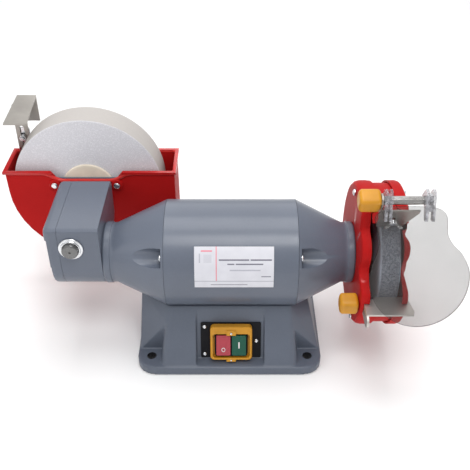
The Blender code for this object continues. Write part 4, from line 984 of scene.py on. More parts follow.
def box_outline(inset):
    """The gearbox seen from its end, as world (y, z): flat top, round underside about the motor shaft."""
    r = NECK_R - inset
    top = BOX_TOP - inset
    front = BOX_FRONT + inset
    back = BOX_BACK - inset
    corner = 0.006
    points = [(front + corner * (1 - math.sin(a)), top - corner * (1 - math.cos(a))) for a in
              (0, math.pi / 6, math.pi / 3, math.pi / 2)]
    points += [(r * math.cos(a), AXIS_Z + r * math.sin(a)) for a in
               (math.radians(d) for d in range(180, 326, 16))]
    points += [(back, 0.143 + inset), (back, top - corner), (back - corner, top)]
    return points


def gear_housing():
    """The open box round the worm gear, with the wet shaft's long neck and the bar that carries the tray."""
    shell = prism(side(box_outline(0)), BOX_LEFT, BOX_RIGHT)
    obj = place("gear_housing", shell, PAINT, rotation=TO_X)
    neck = cylinder(-0.0030, 0.0176, 0.0148, segments=MEDIUM)
    boolean(obj, neck, "UNION", (WET_X, BOX_BACK, WET_Z), TO_Y)
    bar = prism(rounded(EAR_X[0] - 0.008, EAR_X[1] + 0.008, EAR_Z - 0.0085, EAR_Z + 0.0075, 0.004),
                -0.0956, -TRAY_FRONT - TRAY_WALL - GAP)
    boolean(obj, bar, "UNION", rotation=TO_FRONT)
    boolean(obj, prism(side(box_outline(BOX_WALL)), BOX_LEFT - 0.01, BOX_RIGHT - BOX_WALL), rotation=TO_X)
    shaft = cylinder(-0.06, 0.12, WET_SHAFT_R + 0.0030, segments=MEDIUM)
    boolean(obj, shaft, **ON_WET_SHAFT)
    motor_side = cylinder(-0.17, -0.14, 0.0120)
    boolean(obj, motor_side, **ON_MOTOR)
    taps = bmesh.new()
    for x in EAR_X:
        cylinder(-0.10, -0.08, 0.0023, shape=taps, segments=TINY, centre=(x, EAR_Z))
    boolean(obj, taps, rotation=TO_FRONT)


def gear_cover():
    """The cover closes the gearbox's left end and holds the worm's end bearing."""
    full = side(box_outline(0))
    right = BOX_LEFT - GAP
    rings = [(COVER_LEFT, side(box_outline(0.0060)))]
    rings += [(COVER_LEFT + depth, side(box_outline(inset))) for depth, inset in
              ((0.0006, 0.0034), (0.0018, 0.0018), (0.0034, 0.0008), (0.0055, 0.0002))]
    rings += [(COVER_LEFT + 0.0075, full), (right, full)]
    obj = place("gear_cover", loft(rings), PAINT, rotation=TO_X)
    for top, depth in ((0.1780, 0.0030), (0.1380, 0.0040)):
        boolean(obj, block((COVER_LEFT - 0.01, -0.06, 0.08), (COVER_LEFT + depth, 0.10, top)))
    boolean(obj, prism(side(box_outline(0.0080)), COVER_LEFT + 0.0035, right + 0.01), rotation=TO_X)
    seat = cylinder(COVER_LEFT + 0.0020, right - 0.0035, 0.0180, bore=0.0133, segments=MEDIUM)
    boolean(obj, seat, "UNION", **ON_MOTOR)
    bearing = [(COVER_LEFT + 0.0042, 0.0130), (COVER_LEFT + 0.0122, 0.0130)]
    place("worm_end_bearing", turned(bearing, bore=0.0053, segments=MEDIUM), ZINC, **ON_MOTOR)


def front_end():
    """The wet shaft's bushes, and the stepped washer on the gearbox's front face."""
    bore = WET_SHAFT_R + GAP
    bush_r = WET_SHAFT_R + 0.0030 - GAP
    for name, low, high in (("front_bush", -0.0380, -0.0200), ("rear_bush", 0.0600, 0.0900)):
        place(name, cylinder(low, high, bush_r, bore=bore), BRONZE, **ON_WET_SHAFT)
    stack = [(-0.0424, 0.0122), (-0.0405, 0.0125), (-0.0405, 0.0142), (-0.0398, 0.0150), (-0.0383, 0.0150)]
    place("shaft_washer", turned(stack, bore=bore), ZINC, **ON_WET_SHAFT)


def wet_side():
    """The slow shaft, the wet stone and what holds it."""
    shaft = [
        (-0.0470, 0.0085), (-0.0460, WET_SHAFT_R), (0.1425, WET_SHAFT_R), (0.1425, 0.0080),
        (0.1482, 0.0080),
    ]
    obj = place("wet_shaft", turned(shaft), STEEL, finish=SHAFT_END, **ON_WET_SHAFT)
    centre_mark = cylinder(-0.048, -0.0455, 0.0013)
    boolean(obj, centre_mark, **ON_WET_SHAFT)
    bore = WET_SHAFT_R + GAP
    stone = [
        (WET_FRONT, WET_R - 0.001), (WET_FRONT + 0.001, WET_R), (WET_BACK - 0.001, WET_R),
        (WET_BACK, WET_R - 0.001),
    ]
    place("wet_stone", turned(stone, bore=bore, segments=ROUND), WET_GRIT, **ON_WET_SHAFT)
    front = [(0.0960, 0.0150), (0.0968, 0.0340), (0.0980, 0.0360), (0.0997, 0.0360)]
    place("front_hub", turned(front, bore=bore, segments=MEDIUM), CREAM, **ON_WET_SHAFT)
    rear = [(0.1403, 0.0360), (0.1418, 0.0360), (0.1423, 0.0340)]
    place("rear_hub", turned(rear, bore=bore, segments=MEDIUM), CREAM, **ON_WET_SHAFT)
    place("wet_nut", nut(0.024, 0.0097, 0.1428, 0.1475), ZINC, **ON_WET_SHAFT)


def tray_outline(inset):
    """The water tray seen from the front, as world (x, z): it follows the stone on the left and below."""
    r = TRAY_ARC_R - inset
    left = TRAY_LEFT + inset
    start = math.pi
    end = math.radians(306)
    points = [(left, TRAY_TOP + inset)]
    points += arc((WET_X, WET_Z), r, start, end, 14)
    points += [(TRAY_RIGHT - 0.006 - inset, 0.1060 + inset), (TRAY_RIGHT - inset, 0.1150 + inset)]
    points += [(TRAY_RIGHT - inset, TRAY_TOP + inset)]
    return points


def water_tray():
    """The tray with its lip, its dip for the shaft, and the two screws that hold it to the gearbox."""
    body = prism(tray_outline(0), -TRAY_BACK, -TRAY_FRONT)
    obj = place("water_tray", body, RED, rotation=TO_FRONT)
    lip = block((TRAY_LEFT - TRAY_LIP, TRAY_FRONT - TRAY_RIM, TRAY_TOP - 0.0035),
                (TRAY_RIGHT + TRAY_RIM, TRAY_BACK + TRAY_RIM, TRAY_TOP + 0.00001))
    boolean(obj, lip, "UNION")
    ears = bmesh.new()
    ear = [(-TRAY_FRONT - 0.001, 0.0075), (-TRAY_FRONT + 0.0030, 0.0075), (-TRAY_FRONT + 0.0035, 0.0070)]
    for x in EAR_X:
        turned(ear, shape=ears, segments=20, centre=(x, EAR_Z))
    boolean(obj, ears, "UNION", rotation=TO_FRONT)
    hollow = prism(tray_outline(TRAY_WALL), -TRAY_BACK + TRAY_WALL, -TRAY_FRONT - TRAY_WALL)
    boolean(obj, hollow, rotation=TO_FRONT)
    above = 0.205
    dip = list(zip(DIP_LEFT, (above, DIP_Z, DIP_Z)))
    dip += arc((WET_X, WET_Z), 0.0187, math.pi, 2 * math.pi, 12)
    dip += list(zip(DIP_RIGHT, (DIP_Z, DIP_Z, above)))
    boolean(obj, prism(dip, -TRAY_FRONT - 0.004, -TRAY_FRONT + 0.005), rotation=TO_FRONT)
    drills = bmesh.new()
    for x in EAR_X:
        cylinder(-0.10, -0.08, 0.0024, shape=drills, segments=TINY, centre=(x, EAR_Z))
    boolean(obj, drills, rotation=TO_FRONT)
    profile = [(-0.0110, 0.0019), (0, 0.0019), (0, HEAD_R), (0.0016, HEAD_R), (0.0026, HEAD_TOP_R)]
    for name, x in (("tray_screw_left", EAR_X[0]), ("tray_screw_right", EAR_X[1])):
        place(name, turned(profile, segments=TINY), ZINC, (x, TRAY_FRONT - 0.0035 - GAP, EAR_Z), TO_FRONT)


# Wet tool rest


def wet_rest_bracket():
    """A strip screwed inside the tray's back wall that carries the wet tool rest."""
    strip = prism(rounded(-0.2905, -0.2715, 0.1760, 0.2340, 0.004), -BRACKET_BACK, -LEG_BACK - GAP)
    obj = place("wet_rest_bracket", strip, STEEL, rotation=TO_FRONT, finish=ZINC)
    hole = cylinder(-0.16, -0.13, 0.0028, segments=TINY, centre=(REST_BOLT_X, REST_BOLT_Z))
    boolean(obj, hole, rotation=TO_FRONT)


def wet_rest():
    """Bent sheet rest: a table over the stone's shoulder, a slotted leg and a stiffening fold at the back."""
    low = TABLE_TOP - 0.002
    table = [(-0.2848, 0.0860), (-0.2550, 0.0860), (-0.2575, 0.1120), (-0.2615, 0.1700), (-0.2875, 0.1700)]
    obj = place("wet_rest", prism(table, low, TABLE_TOP), STEEL)
    top = TABLE_TOP - 0.0006
    leg = prism(rounded(-0.2895, -0.2725, 0.2035, top, 0.004, 3), -LEG_BACK, -LEG_FRONT)
    boolean(obj, leg, "UNION", rotation=TO_FRONT)
    fold = block((-0.2873, 0.1680, 0.2330), (-0.2617, 0.1698, top))
    boolean(obj, fold, "UNION")
    slot = prism(rounded(-0.0028, 0.0028, -0.0128, 0.0168, 0.0027, 3), -0.16, -0.13)
    boolean(obj, moved(slot, (REST_BOLT_X, REST_BOLT_Z, 0)), rotation=TO_FRONT)


def wet_rest_clamp():
    """The bolt and nut in the rest's slot."""
    bolt = [(-0.1520, 0.0046), (-0.1515, 0.0050), (-0.1486, 0.0050), (-0.1486, 0.0024), (-0.1355, 0.0024)]
    place("wet_rest_bolt", turned(bolt, segments=TINY), ZINC, **ON_WET_REST)
    place("wet_rest_nut", nut(0.0080, 0.0030, -LEG_FRONT + GAP, -0.1390), ZINC, **ON_WET_REST)


# Materials


def new_shader(name):
    made = bpy.data.materials.new("look_" + name)
    made.use_nodes = True
    return made, made.node_tree, made.node_tree.nodes["Principled BSDF"]


def add(tree, kind, **inputs):
    """A shader node with its inputs set by name."""
    made = tree.nodes.new(kind)
    for key, value in inputs.items():
        made.inputs[key].default_value = value
    return made


def link(tree, start, end):
    tree.links.new(start, end)


def calculate(tree, operation, *values, kind="ShaderNodeMath", output=0):
    """The result of a math node on other nodes' outputs or constants."""
    made = tree.nodes.new(kind)
    made.operation = operation
    for value, socket in zip(values, made.inputs):
        if isinstance(value, bpy.types.NodeSocket):
            link(tree, value, socket)
        else:
            socket.default_value = value
    return made.outputs[output]


def vector_math(tree, operation, *values, output="Vector"):
    return calculate(tree, operation, *values, kind="ShaderNodeVectorMath", output=output)


def own_frame(tree):
    """Coordinates in the piece's own frame."""
    return tree.nodes.new("ShaderNodeTexCoord").outputs["Object"]


def axis_distance(tree, point, centre, across):
    """Distance from a line through the centre, measured in the plane where across is 1."""
    away = vector_math(tree, "SUBTRACT", point, centre)
    return vector_math(tree, "LENGTH", vector_math(tree, "MULTIPLY", away, across), output="Value")


def ramp_node(tree, factor, stops):
    """A colour along (position, colour) stops."""
    made = tree.nodes.new("ShaderNodeValToRGB")
    elements = made.color_ramp.elements
    elements[0].position, elements[0].color = stops[0][0], (*stops[0][1], 1)
    elements[1].position, elements[1].color = stops[-1][0], (*stops[-1][1], 1)
    for position, colour in stops[1:-1]:
        element = elements.new(position)
        element.color = (*colour, 1)
    link(tree, factor, made.inputs["Fac"])
    return made.outputs["Color"]


def noise(tree, scale, detail=3.0, roughness=0.5, stretch=(1, 1, 1)):
    """A noise pattern's value, 0 to 1."""
    mapping = add(tree, "ShaderNodeMapping", Scale=stretch)
    link(tree, own_frame(tree), mapping.inputs["Vector"])
    made = add(tree, "ShaderNodeTexNoise", Scale=scale, Detail=detail, Roughness=roughness)
    link(tree, mapping.outputs["Vector"], made.inputs["Vector"])
    return made.outputs["Fac"]


def spread(tree, value, low, high, start=0.35, end=0.65):
    """Map start to end onto low to high."""
    limits = {"From Min": start, "From Max": end, "To Min": low, "To Max": high}
    made = add(tree, "ShaderNodeMapRange", **limits)
    link(tree, value, made.inputs["Value"])
    return made.outputs["Result"]


def blend_colour(tree, factor, first, second):
    """The first colour where the factor is 0 and the second, a constant or an output, where it is 1."""
    made = tree.nodes.new("ShaderNodeMix")
    made.data_type = "RGBA"
    link(tree, factor, made.inputs["Factor"])
    for key, value in (("A", first), ("B", second)):
        if isinstance(value, tuple):
            made.inputs[key].default_value = (*value, 1)
        else:
            link(tree, value, made.inputs[key])
    return made.outputs["Result"]


def relief(tree, shader, layers):
    """Chain bumps from (height, strength, depth) layers into the shader's normal."""
    previous = None
    for height, strength, depth in layers:
        bump = add(tree, "ShaderNodeBump", Strength=strength, Distance=depth)
        link(tree, height, bump.inputs["Height"])
        if previous:
            link(tree, previous, bump.inputs["Normal"])
        previous = bump.outputs["Normal"]
    link(tree, previous, shader.inputs["Normal"])


def edges(tree, low, high):
    """1 on convex edges, 0 on flats, from how pointed the surface is."""
    made = tree.nodes.new("ShaderNodeNewGeometry")
    return spread(tree, made.outputs["Pointiness"], 0.0, 1.0, low, high)


def tint(colour, share):
    """A lighter or darker version of a colour."""
    return tuple(min(1.0, c * share) for c in colour)


def bolt_hole_shade_mask(tree):
    """1 inside the base's four bolt holes, whose nearly black colour is painted shade."""
    corner = vector_math(tree, "ABSOLUTE", own_frame(tree))
    radius = axis_distance(tree, corner, (HOLE_X, HOLE_Y, 0), (1, 1, 0))
    return spread(tree, radius, 1.0, 0.0, HOLE_R + 0.0001, HOLE_R + 0.0004)


def paint(name, colour, rough=0.38, edge_wear_and_highlight=0.25, peel=0.10, clear=0.25, cast=0.0, shine=0.5,
          pale_edge_limits=(0.57, 0.68), gloss=0.0, shaded_holes=False):
    """Enamel: a faint cloudiness, orange peel, paler edges, partly scuffed paint and partly painted highlight,
    and, on castings, a soft grain.

    The pale edge limits set how pointed an edge has to be to turn paler, and gloss is the extra coat on such
    edges.
    """
    made, tree, shader = new_shader(name)
    cloud = noise(tree, 9, 4)
    base = ramp_node(tree, cloud, [(0.30, tint(colour, 0.90)), (0.70, tint(colour, 1.08))])
    fine = noise(tree, 420, 2)
    base = blend_colour(tree, spread(tree, fine, 0.0, 0.10), base, tint(colour, 1.30))
    # Paler convex edges: partly scuffed paint, partly a painted highlight, as on the red lips
    edge = edges(tree, *pale_edge_limits)
    broken = spread(tree, noise(tree, 160, 5), 0.0, edge_wear_and_highlight, 0.40, 0.60)
    base = blend_colour(tree, calculate(tree, "MULTIPLY", edge, broken), base, tint(colour, 2.0))
    # Painted shade: the deep bolt holes are coloured nearly black
    if shaded_holes:
        base = blend_colour(tree, bolt_hole_shade_mask(tree), base, (0.012, 0.012, 0.015))
    link(tree, base, shader.inputs["Base Color"])
    link(tree, spread(tree, noise(tree, 30, 4), rough - 0.02, rough + 0.03), shader.inputs["Roughness"])
    shader.inputs["Specular IOR Level"].default_value = shine
    shader.inputs["Coat Weight"].default_value = clear
    shader.inputs["Coat Roughness"].default_value = 0.18
    if gloss:
        link(tree, spread(tree, edge, 0.0, gloss, 0.1, 0.8), shader.inputs["Coat Weight"])
    layers = [(noise(tree, 650, 1), peel, 0.0003)]
    if cast:
        layers.append((noise(tree, 170, 3), cast, 0.0006))
    relief(tree, shader, layers)
    return made


def metal(name, colour, rough=0.30, stretch=(1, 1, 1), grain=240, scratch=0.10, stain=0.5):
    """Bare or plated metal with directional scratches, dull patches and darker stains."""
    made, tree, shader = new_shader(name)
    streak = noise(tree, grain, 4, 0.6, stretch)
    patch = noise(tree, 26, 5)
    base = ramp_node(tree, patch, [(0.30, tint(colour, 1.0 - 0.35 * stain)), (0.62, colour)])
    base = blend_colour(tree, spread(tree, streak, 0.0, 0.22), base, tint(colour, 1.18))
    link(tree, base, shader.inputs["Base Color"])
    shader.inputs["Metallic"].default_value = 1.0
    streaked = spread(tree, streak, rough - 0.07, rough + 0.07)
    dulled = calculate(tree, "ADD", streaked, spread(tree, patch, 0.05, -0.03))
    link(tree, dulled, shader.inputs["Roughness"])
    relief(tree, shader, [(streak, scratch, 0.0002), (noise(tree, 900, 2), 0.05, 0.0001)])
    return made


def plastic(name, colour, rough=0.42, edge_wear_and_highlight=0.3, scatter=0.0, shine=0.5):
    """Moulded plastic: a faint cloudiness, paler edges, partly scuffed and partly painted highlight, and a
    fine grain.
    """
    made, tree, shader = new_shader(name)
    shader.inputs["Specular IOR Level"].default_value = shine
    cloud = noise(tree, 40, 3)
    base = ramp_node(tree, cloud, [(0.30, tint(colour, 0.88)), (0.70, tint(colour, 1.10))])
    # Paler convex edges: partly scuffed plastic, partly a painted highlight
    pale_edge_share = calculate(tree, "MULTIPLY", edges(tree, 0.52, 0.64), edge_wear_and_highlight)
    base = blend_colour(tree, pale_edge_share, base, tint(colour, 1.8))
    link(tree, base, shader.inputs["Base Color"])
    link(tree, spread(tree, noise(tree, 90, 4), rough - 0.07, rough + 0.09), shader.inputs["Roughness"])
    if scatter:
        shader.inputs["Subsurface Weight"].default_value = scatter
        shader.inputs["Subsurface Scale"].default_value = 0.003
    relief(tree, shader, [(noise(tree, 520, 2), 0.10, 0.0002)])
    return made


def facing(tree, direction):
    """How squarely a face looks along a direction of the piece's own frame, 0 to 1."""
    normal = tree.nodes.new("ShaderNodeTexCoord").outputs["Normal"]
    along = vector_math(tree, "DOT_PRODUCT", normal, direction, output="Value")
    return calculate(tree, "ABSOLUTE", along)


def grit(name, light, dark, scale, depth, strength, specks, worn_rim=None, painted_light_flank=None):
    """Bonded abrasive: grains of two tones with pores between them.

    The wet stone's rim is browner from use, and the dry stone's flat sides get a lighter, bluer colour as
    painted light, where the guard shades them.
    """
    made, tree, shader = new_shader(name)
    cells = add(tree, "ShaderNodeTexVoronoi", Scale=scale)
    link(tree, own_frame(tree), cells.inputs["Vector"])
    grains = ramp_node(tree, cells.outputs["Color"], [(0.25, dark), (0.55, tint(light, 0.8)), (0.85, light)])
    fine = noise(tree, scale * 0.8, 4, 0.65)
    base = blend_colour(tree, spread(tree, fine, 0.0, specks), grains, tint(dark, 0.7))
    broad = noise(tree, 13, 4)
    base = blend_colour(tree, spread(tree, broad, 0.0, 0.35), base, tint(light, 0.85))
    if worn_rim:
        radius = axis_distance(tree, own_frame(tree), (WET_X, 0, WET_Z), (1, 0, 1))
        on_rim = spread(tree, radius, 0.0, 0.85, WET_R - 0.0008, WET_R - 0.0002)
        base = blend_colour(tree, on_rim, base, worn_rim)
    # Painted light: the dry stone's flat sides, shaded inside the guard, get a lighter colour
    if painted_light_flank:
        painted_light_on_flank = spread(tree, facing(tree, (1, 0, 0)), 0.0, 0.85, 0.7, 0.9)
        base = blend_colour(tree, painted_light_on_flank, base, painted_light_flank)
    link(tree, base, shader.inputs["Base Color"])
    shader.inputs["Roughness"].default_value = 0.92
    relief(tree, shader, [(cells.outputs["Distance"], strength, depth), (fine, strength * 0.6, depth)])
    return made


def clear(name, colour, alpha, rough, rim, facets, cloudy=(35, 0.92), sheet=None):
    """Clear plastic: see-through, with a faint haze, scuffs and more opaque edges, which on the pale clips are
    a painted highlight.

    A sheet's direction makes its cut edges dark. Facets is how strongly the surface is broken up, and cloudy
    the haze's scale and its darkest tone.
    """
    made, tree, shader = new_shader(name)
    grain, darkest = cloudy
    haze = noise(tree, grain, 5)
    scuff = noise(tree, 300, 4, 0.7, (1, 12, 1))
    base = ramp_node(tree, haze, [(0.3, tint(colour, darkest)), (0.7, colour)])
    # More opaque convex edges: on the pale clips, a painted highlight
    highlight_edge_opacity = spread(tree, edges(tree, 0.54, 0.62), 0.0, rim, 0.0, 1.0)
    opacity = calculate(tree, "ADD", spread(tree, haze, alpha - 0.01, alpha + 0.01), highlight_edge_opacity)
    opacity.node.use_clamp = True
    if sheet:
        cut_edge = spread(tree, facing(tree, sheet), 0.85, 0.0, 0.30, 0.80)
        base = blend_colour(tree, cut_edge, base, tint(colour, 0.15))
        link(tree, spread(tree, cut_edge, 0.5, 0.0, 0.0, 0.6), shader.inputs["Specular IOR Level"])
        opacity = calculate(tree, "MAXIMUM", opacity, cut_edge)
    link(tree, base, shader.inputs["Base Color"])
    link(tree, opacity, shader.inputs["Alpha"])
    link(tree, spread(tree, scuff, rough, rough + 0.10), shader.inputs["Roughness"])
    relief(tree, shader, [(scuff, 0.03, 0.0001), (noise(tree, 110, 2), facets, 0.0010)])
    return made


def printed_label(name):
    """A white printed plate: plain ruled fields with no lettering."""
    made, tree, shader = new_shader(name)
    split = tree.nodes.new("ShaderNodeSeparateXYZ")
    link(tree, own_frame(tree), split.inputs["Vector"])

    def between(axis, low, high):
        """1 between two places on an axis."""
        away = calculate(tree, "SUBTRACT", split.outputs[axis], (low + high) / 2)
        return calculate(tree, "LESS_THAN", calculate(tree, "ABSOLUTE", away), (high - low) / 2)

    base = ramp_node(tree, noise(tree, 60, 4), [(0.3, (0.60, 0.60, 0.65)), (0.7, (0.66, 0.66, 0.71))])
    for left, right, low, high, colour in LABEL_BARS:
        inside = calculate(tree, "MULTIPLY", between("X", left, right), between("Z", low, high))
        base = blend_colour(tree, inside, base, colour)
    link(tree, base, shader.inputs["Base Color"])
    link(tree, spread(tree, noise(tree, 120, 3), 0.34, 0.42), shader.inputs["Roughness"])
    relief(tree, shader, [(noise(tree, 300, 3), 0.02, 0.0001)])
    return made


# The plate's ruled bars: left, right, low and high on the motor's front, and colour
INK = (0.17, 0.17, 0.21)
PALE_INK = (0.42, 0.42, 0.48)
RED_INK = (0.72, 0.24, 0.29)
LABEL_BARS = (
    (LABEL_LEFT, LABEL_RIGHT, 0.1408, 0.1420, PALE_INK),
    (-0.0156, -0.0144, 0.1420, 0.1810, RED_INK),
    (-0.0331, -0.0198, 0.1752, 0.1766, RED_INK),
    (-0.0354, -0.0340, 0.1640, 0.1735, PALE_INK),
    (-0.0300, -0.0205, 0.1640, 0.1725, (0.56, 0.56, 0.61)),
    (-0.0119, 0.0240, 0.1662, 0.1678, INK),
    (0.0256, 0.0507, 0.1662, 0.1678, INK),
    (-0.0018, 0.0065, 0.1617, 0.1632, INK),
    (0.0081, 0.0406, 0.1617, 0.1632, INK),
    (0.0009, 0.0374, 0.1546, 0.1562, PALE_INK),
    (0.0385, 0.0500, 0.1470, 0.1482, INK),
    (-0.0217, 0.0221, 0.1360, 0.1369, INK),
)

BODY = {"colour": (0.116, 0.134, 0.174), "rough": 0.34, "clear": 0.16, "shine": 0.42}

FINISH = {
    PAINT: partial(paint, cast=0.015, **BODY),
    BELL_PAINT: partial(paint, edge_wear_and_highlight=0.0, **BODY),
    # The base's bolt holes get painted shade
    BASE_PAINT: partial(paint, colour=(0.104, 0.121, 0.157), rough=0.42, cast=0.20, peel=0.16, clear=0.08,
                        shine=0.35, shaded_holes=True),
    # The red's paler edges are partly painted highlight on the guard and tray lips
    RED: partial(paint, colour=(0.440, 0.010, 0.010), rough=0.50, edge_wear_and_highlight=0.22, clear=0.0, shine=0.07,
                 gloss=1.0, pale_edge_limits=(0.53, 0.63)),
    # Painted highlight: the bead is a brighter red than the tray it is moulded on
    HIGHLIT_RED_BEAD: partial(paint, colour=(0.560, 0.022, 0.018), rough=0.34, edge_wear_and_highlight=0.3, clear=0.2, shine=0.25),
    STEEL: partial(metal, colour=(0.41, 0.385, 0.355), rough=0.40, stretch=(1, 9, 9)),
    ZINC: partial(metal, colour=(0.78, 0.79, 0.81), rough=0.26, grain=400, stain=0.3),
    POLISHED: partial(metal, colour=(0.40, 0.39, 0.38), rough=0.22, stretch=(1, 14, 14), stain=0.4),
    SHAFT_END: partial(metal, colour=(0.20, 0.20, 0.20), rough=0.30, stain=0.6),
    REST_STEEL: partial(metal, colour=(0.62, 0.585, 0.55), rough=0.46, stretch=(1, 9, 9)),
    DARK_STEEL: partial(metal, colour=(0.20, 0.20, 0.21), rough=0.48, stretch=(60, 1, 1)),
    COPPER: partial(metal, colour=(0.62, 0.27, 0.12), rough=0.42, stretch=(40, 1, 1)),
    BRONZE: partial(metal, colour=(0.62, 0.42, 0.19), rough=0.36),
    BLACK: partial(plastic, colour=(0.008, 0.008, 0.010), rough=0.52, shine=0.14, edge_wear_and_highlight=0.06),
    YELLOW: partial(plastic, colour=(0.54, 0.25, 0.018), rough=0.36, shine=0.3),
    ORANGE: partial(plastic, colour=(0.56, 0.250, 0.012), rough=0.38, scatter=0.06, shine=0.4),
    STOP_RED: partial(plastic, colour=(0.40, 0.050, 0.070), rough=0.32, shine=0.3),
    START_GREEN: partial(plastic, colour=(0.008, 0.080, 0.050), rough=0.32, shine=0.3),
    CREAM: partial(plastic, colour=(0.80, 0.71, 0.58), rough=0.52),
    MARK: partial(plastic, colour=(0.72, 0.70, 0.70), rough=0.45),
    WET_GRIT: partial(grit, light=(0.82, 0.81, 0.85), dark=(0.68, 0.67, 0.71), scale=900, depth=0.0003,
                      strength=0.35, specks=0.12, worn_rim=(0.43, 0.40, 0.37)),
    # The dry stone's lighter colour on its flat sides is painted light
    DRY_GRIT: partial(grit, light=(0.40, 0.43, 0.50), dark=(0.19, 0.20, 0.24), scale=760, depth=0.0005,
                      strength=0.7, specks=0.25, painted_light_flank=(0.70, 0.78, 0.92)),
    CLEAR: partial(clear, colour=(0.060, 0.057, 0.054), alpha=0.26, rough=0.03, rim=0.0, facets=0.0,
                   sheet=(0, -math.sin(SHIELD_LEAN), math.cos(SHIELD_LEAN))),
    # Painted highlight: the clips' pale colour and paler edges stand in for the glints on their facets
    CLIP: partial(clear, colour=(0.62, 0.62, 0.67), alpha=0.42, rough=0.03, rim=0.45, facets=0.80,
                  cloudy=(170, 0.10)),
    WHITE: printed_label,
}


# The visual model's own details


def detail(name, shape, spec, rides, location=ORIGIN, parent=None, finish=None):
    """A small visible piece that the CAD model doesn't have; it rides with a CAD node."""
    obj = place(name, shape, spec, location, parent=parent, finish=finish)
    obj["rides"] = rides
    return obj


def screw_head(radius, height):
    """A shallow dome along local Z."""
    shoulder = (height * 0.75, radius * 0.82)
    return turned([(-0.0004, radius), (height * 0.35, radius), shoulder, (height, radius * 0.45)])


def cross_slot(obj, radius, height, location):
    """The crossed recess in a screw's head."""
    half = radius * 0.55
    thin = radius * 0.13
    quarter = [(thin, thin), (thin, half), (-thin, half)]
    cross = []
    for turn in range(4):
        spin = Matrix.Rotation(math.pi / 2 * turn, 2)
        cross += [tuple(spin @ Vector(corner)) for corner in quarter]
    boolean(obj, prism(cross, height * 0.45, height + 0.001), location=location)


def switch_details():
    """The switch's screws, the seal round its buttons, and the generic 0 and I marks."""
    plane = bpy.data.objects["switch_plane"]
    dome = 0.0012
    spots = (
        ("plate_screw_upper", -0.0335, 0.0190, 0.0024, 0.0023),
        ("plate_screw_lower", -0.0335, -0.0200, 0.0024, 0.0023),
        ("plate_screw_right", 0.0325, -0.0010, 0.0024, 0.0023),
        ("frame_screw_upper", 0.0005, 0.0152, 0.0016, 0.0135),
        ("frame_screw_lower", 0.0005, -0.0242, 0.0013, 0.0115),
    )
    for name, x, y, radius, height in spots:
        place_at = (x, y, height)
        obj = detail(name, screw_head(radius, dome), ZINC, "switch_plate", place_at, parent=plane)
        cross_slot(obj, radius, dome, place_at)
    ring = prism(rounded(-0.0206, 0.0206, -0.0186, 0.0122, 0.0028, 8), 0.0060, 0.0104, chamfer=0.0006)
    seal = detail("button_seal", ring, BLACK, "switch_plate", SWITCH_OFFSET, parent=plane)
    windows = bmesh.new()
    for low, high in ((-0.0194, -0.0005), (0.0005, 0.0194)):
        prism(rounded(low, high, -0.0175, 0.0115, 0.0017, 6), 0.0, 0.02, windows)
    boolean(seal, windows, location=SWITCH_OFFSET)
    thick = 0.0003
    face = 0.0124
    outer = [(0.0024 * math.cos(a), 0.0031 * math.sin(a)) for a in (2 * math.pi * i / 48 for i in range(48))]
    inner = [(x * 0.66, y * 0.72) for x, y in outer]
    rings = [[(x, y, 0) for x, y in outer], [(x, y, thick) for x, y in outer],
             [(x, y, thick) for x, y in inner], [(x, y, 0) for x, y in inner]]
    zero = skin(bmesh.new(), rings, closed=True)
    x, y, _ = SWITCH_OFFSET
    detail("mark_0", zero, WHITE, "stop_button", (x - 0.0099, y - 0.0085, face), parent=plane, finish=MARK)
    bar = prism(rounded(-0.0008, 0.0008, -0.0045, 0.0045, 0.0004, 3), 0, thick)
    detail("mark_I", bar, WHITE, "start_button", (x + 0.0099, y - 0.0020, face), parent=plane, finish=MARK)


def tray_rim():
    """The bead moulded round the tray's mouth and down its front dip."""
    radius = 0.0026
    left = TRAY_LEFT - TRAY_LIP + radius
    right = TRAY_RIGHT + TRAY_RIM - radius
    front = TRAY_FRONT - TRAY_RIM + radius
    back = TRAY_BACK + TRAY_RIM - radius
    top = TRAY_TOP - radius
    dip = list(zip(DIP_LEFT + DIP_RIGHT, (top, DIP_Z, DIP_Z, DIP_Z, DIP_Z, top)))
    path = [(left, back, top), (left, front, top)]
    path += [(x, front + (0.0004 if z < top else 0.0), z) for x, z in dip]
    path += [(right, front, top), (right, back, top)]
    # The bead's brighter red is a painted highlight
    detail("tray_rim", tube(filleted(path, 0.0085), radius), RED, "water_tray", finish=HIGHLIT_RED_BEAD)


LOOKS = {}


def look(finish):
    """The material of a slot or finish, made once."""
    if finish not in LOOKS:
        LOOKS[finish] = FINISH[finish](finish)
    return LOOKS[finish]


# The radius of each piece's rounded edges
PLAIN_EDGE = 0.0004
DETAIL_EDGE = 0.0002
EDGE = {
    "guard_inner_cover": 0.0009, "guard_outer_cover": 0.0009, "guard_band": 0.0006, "gear_housing": 0.0012,
    "gear_cover": 0.0010, "water_tray": 0.0011, "dry_rest": 0.0005, "eye_shield": 0.0005, "front_hub": 0.0006,
    "wet_stone": 0.0004, "motor_shell": 0.0005, "left_end_bell": 0.0007, "right_end_bell": 0.0007,
    "switch_frame": 0.0007, "stop_button": 0.0006, "start_button": 0.0006, "type_plate": 0.00015,
    "shield_clip_left": 0.0005, "shield_clip_right": 0.0005, "base_casting": 0.0006,
}


def body_of(node):
    return frame["nodes"][node]["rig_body"]


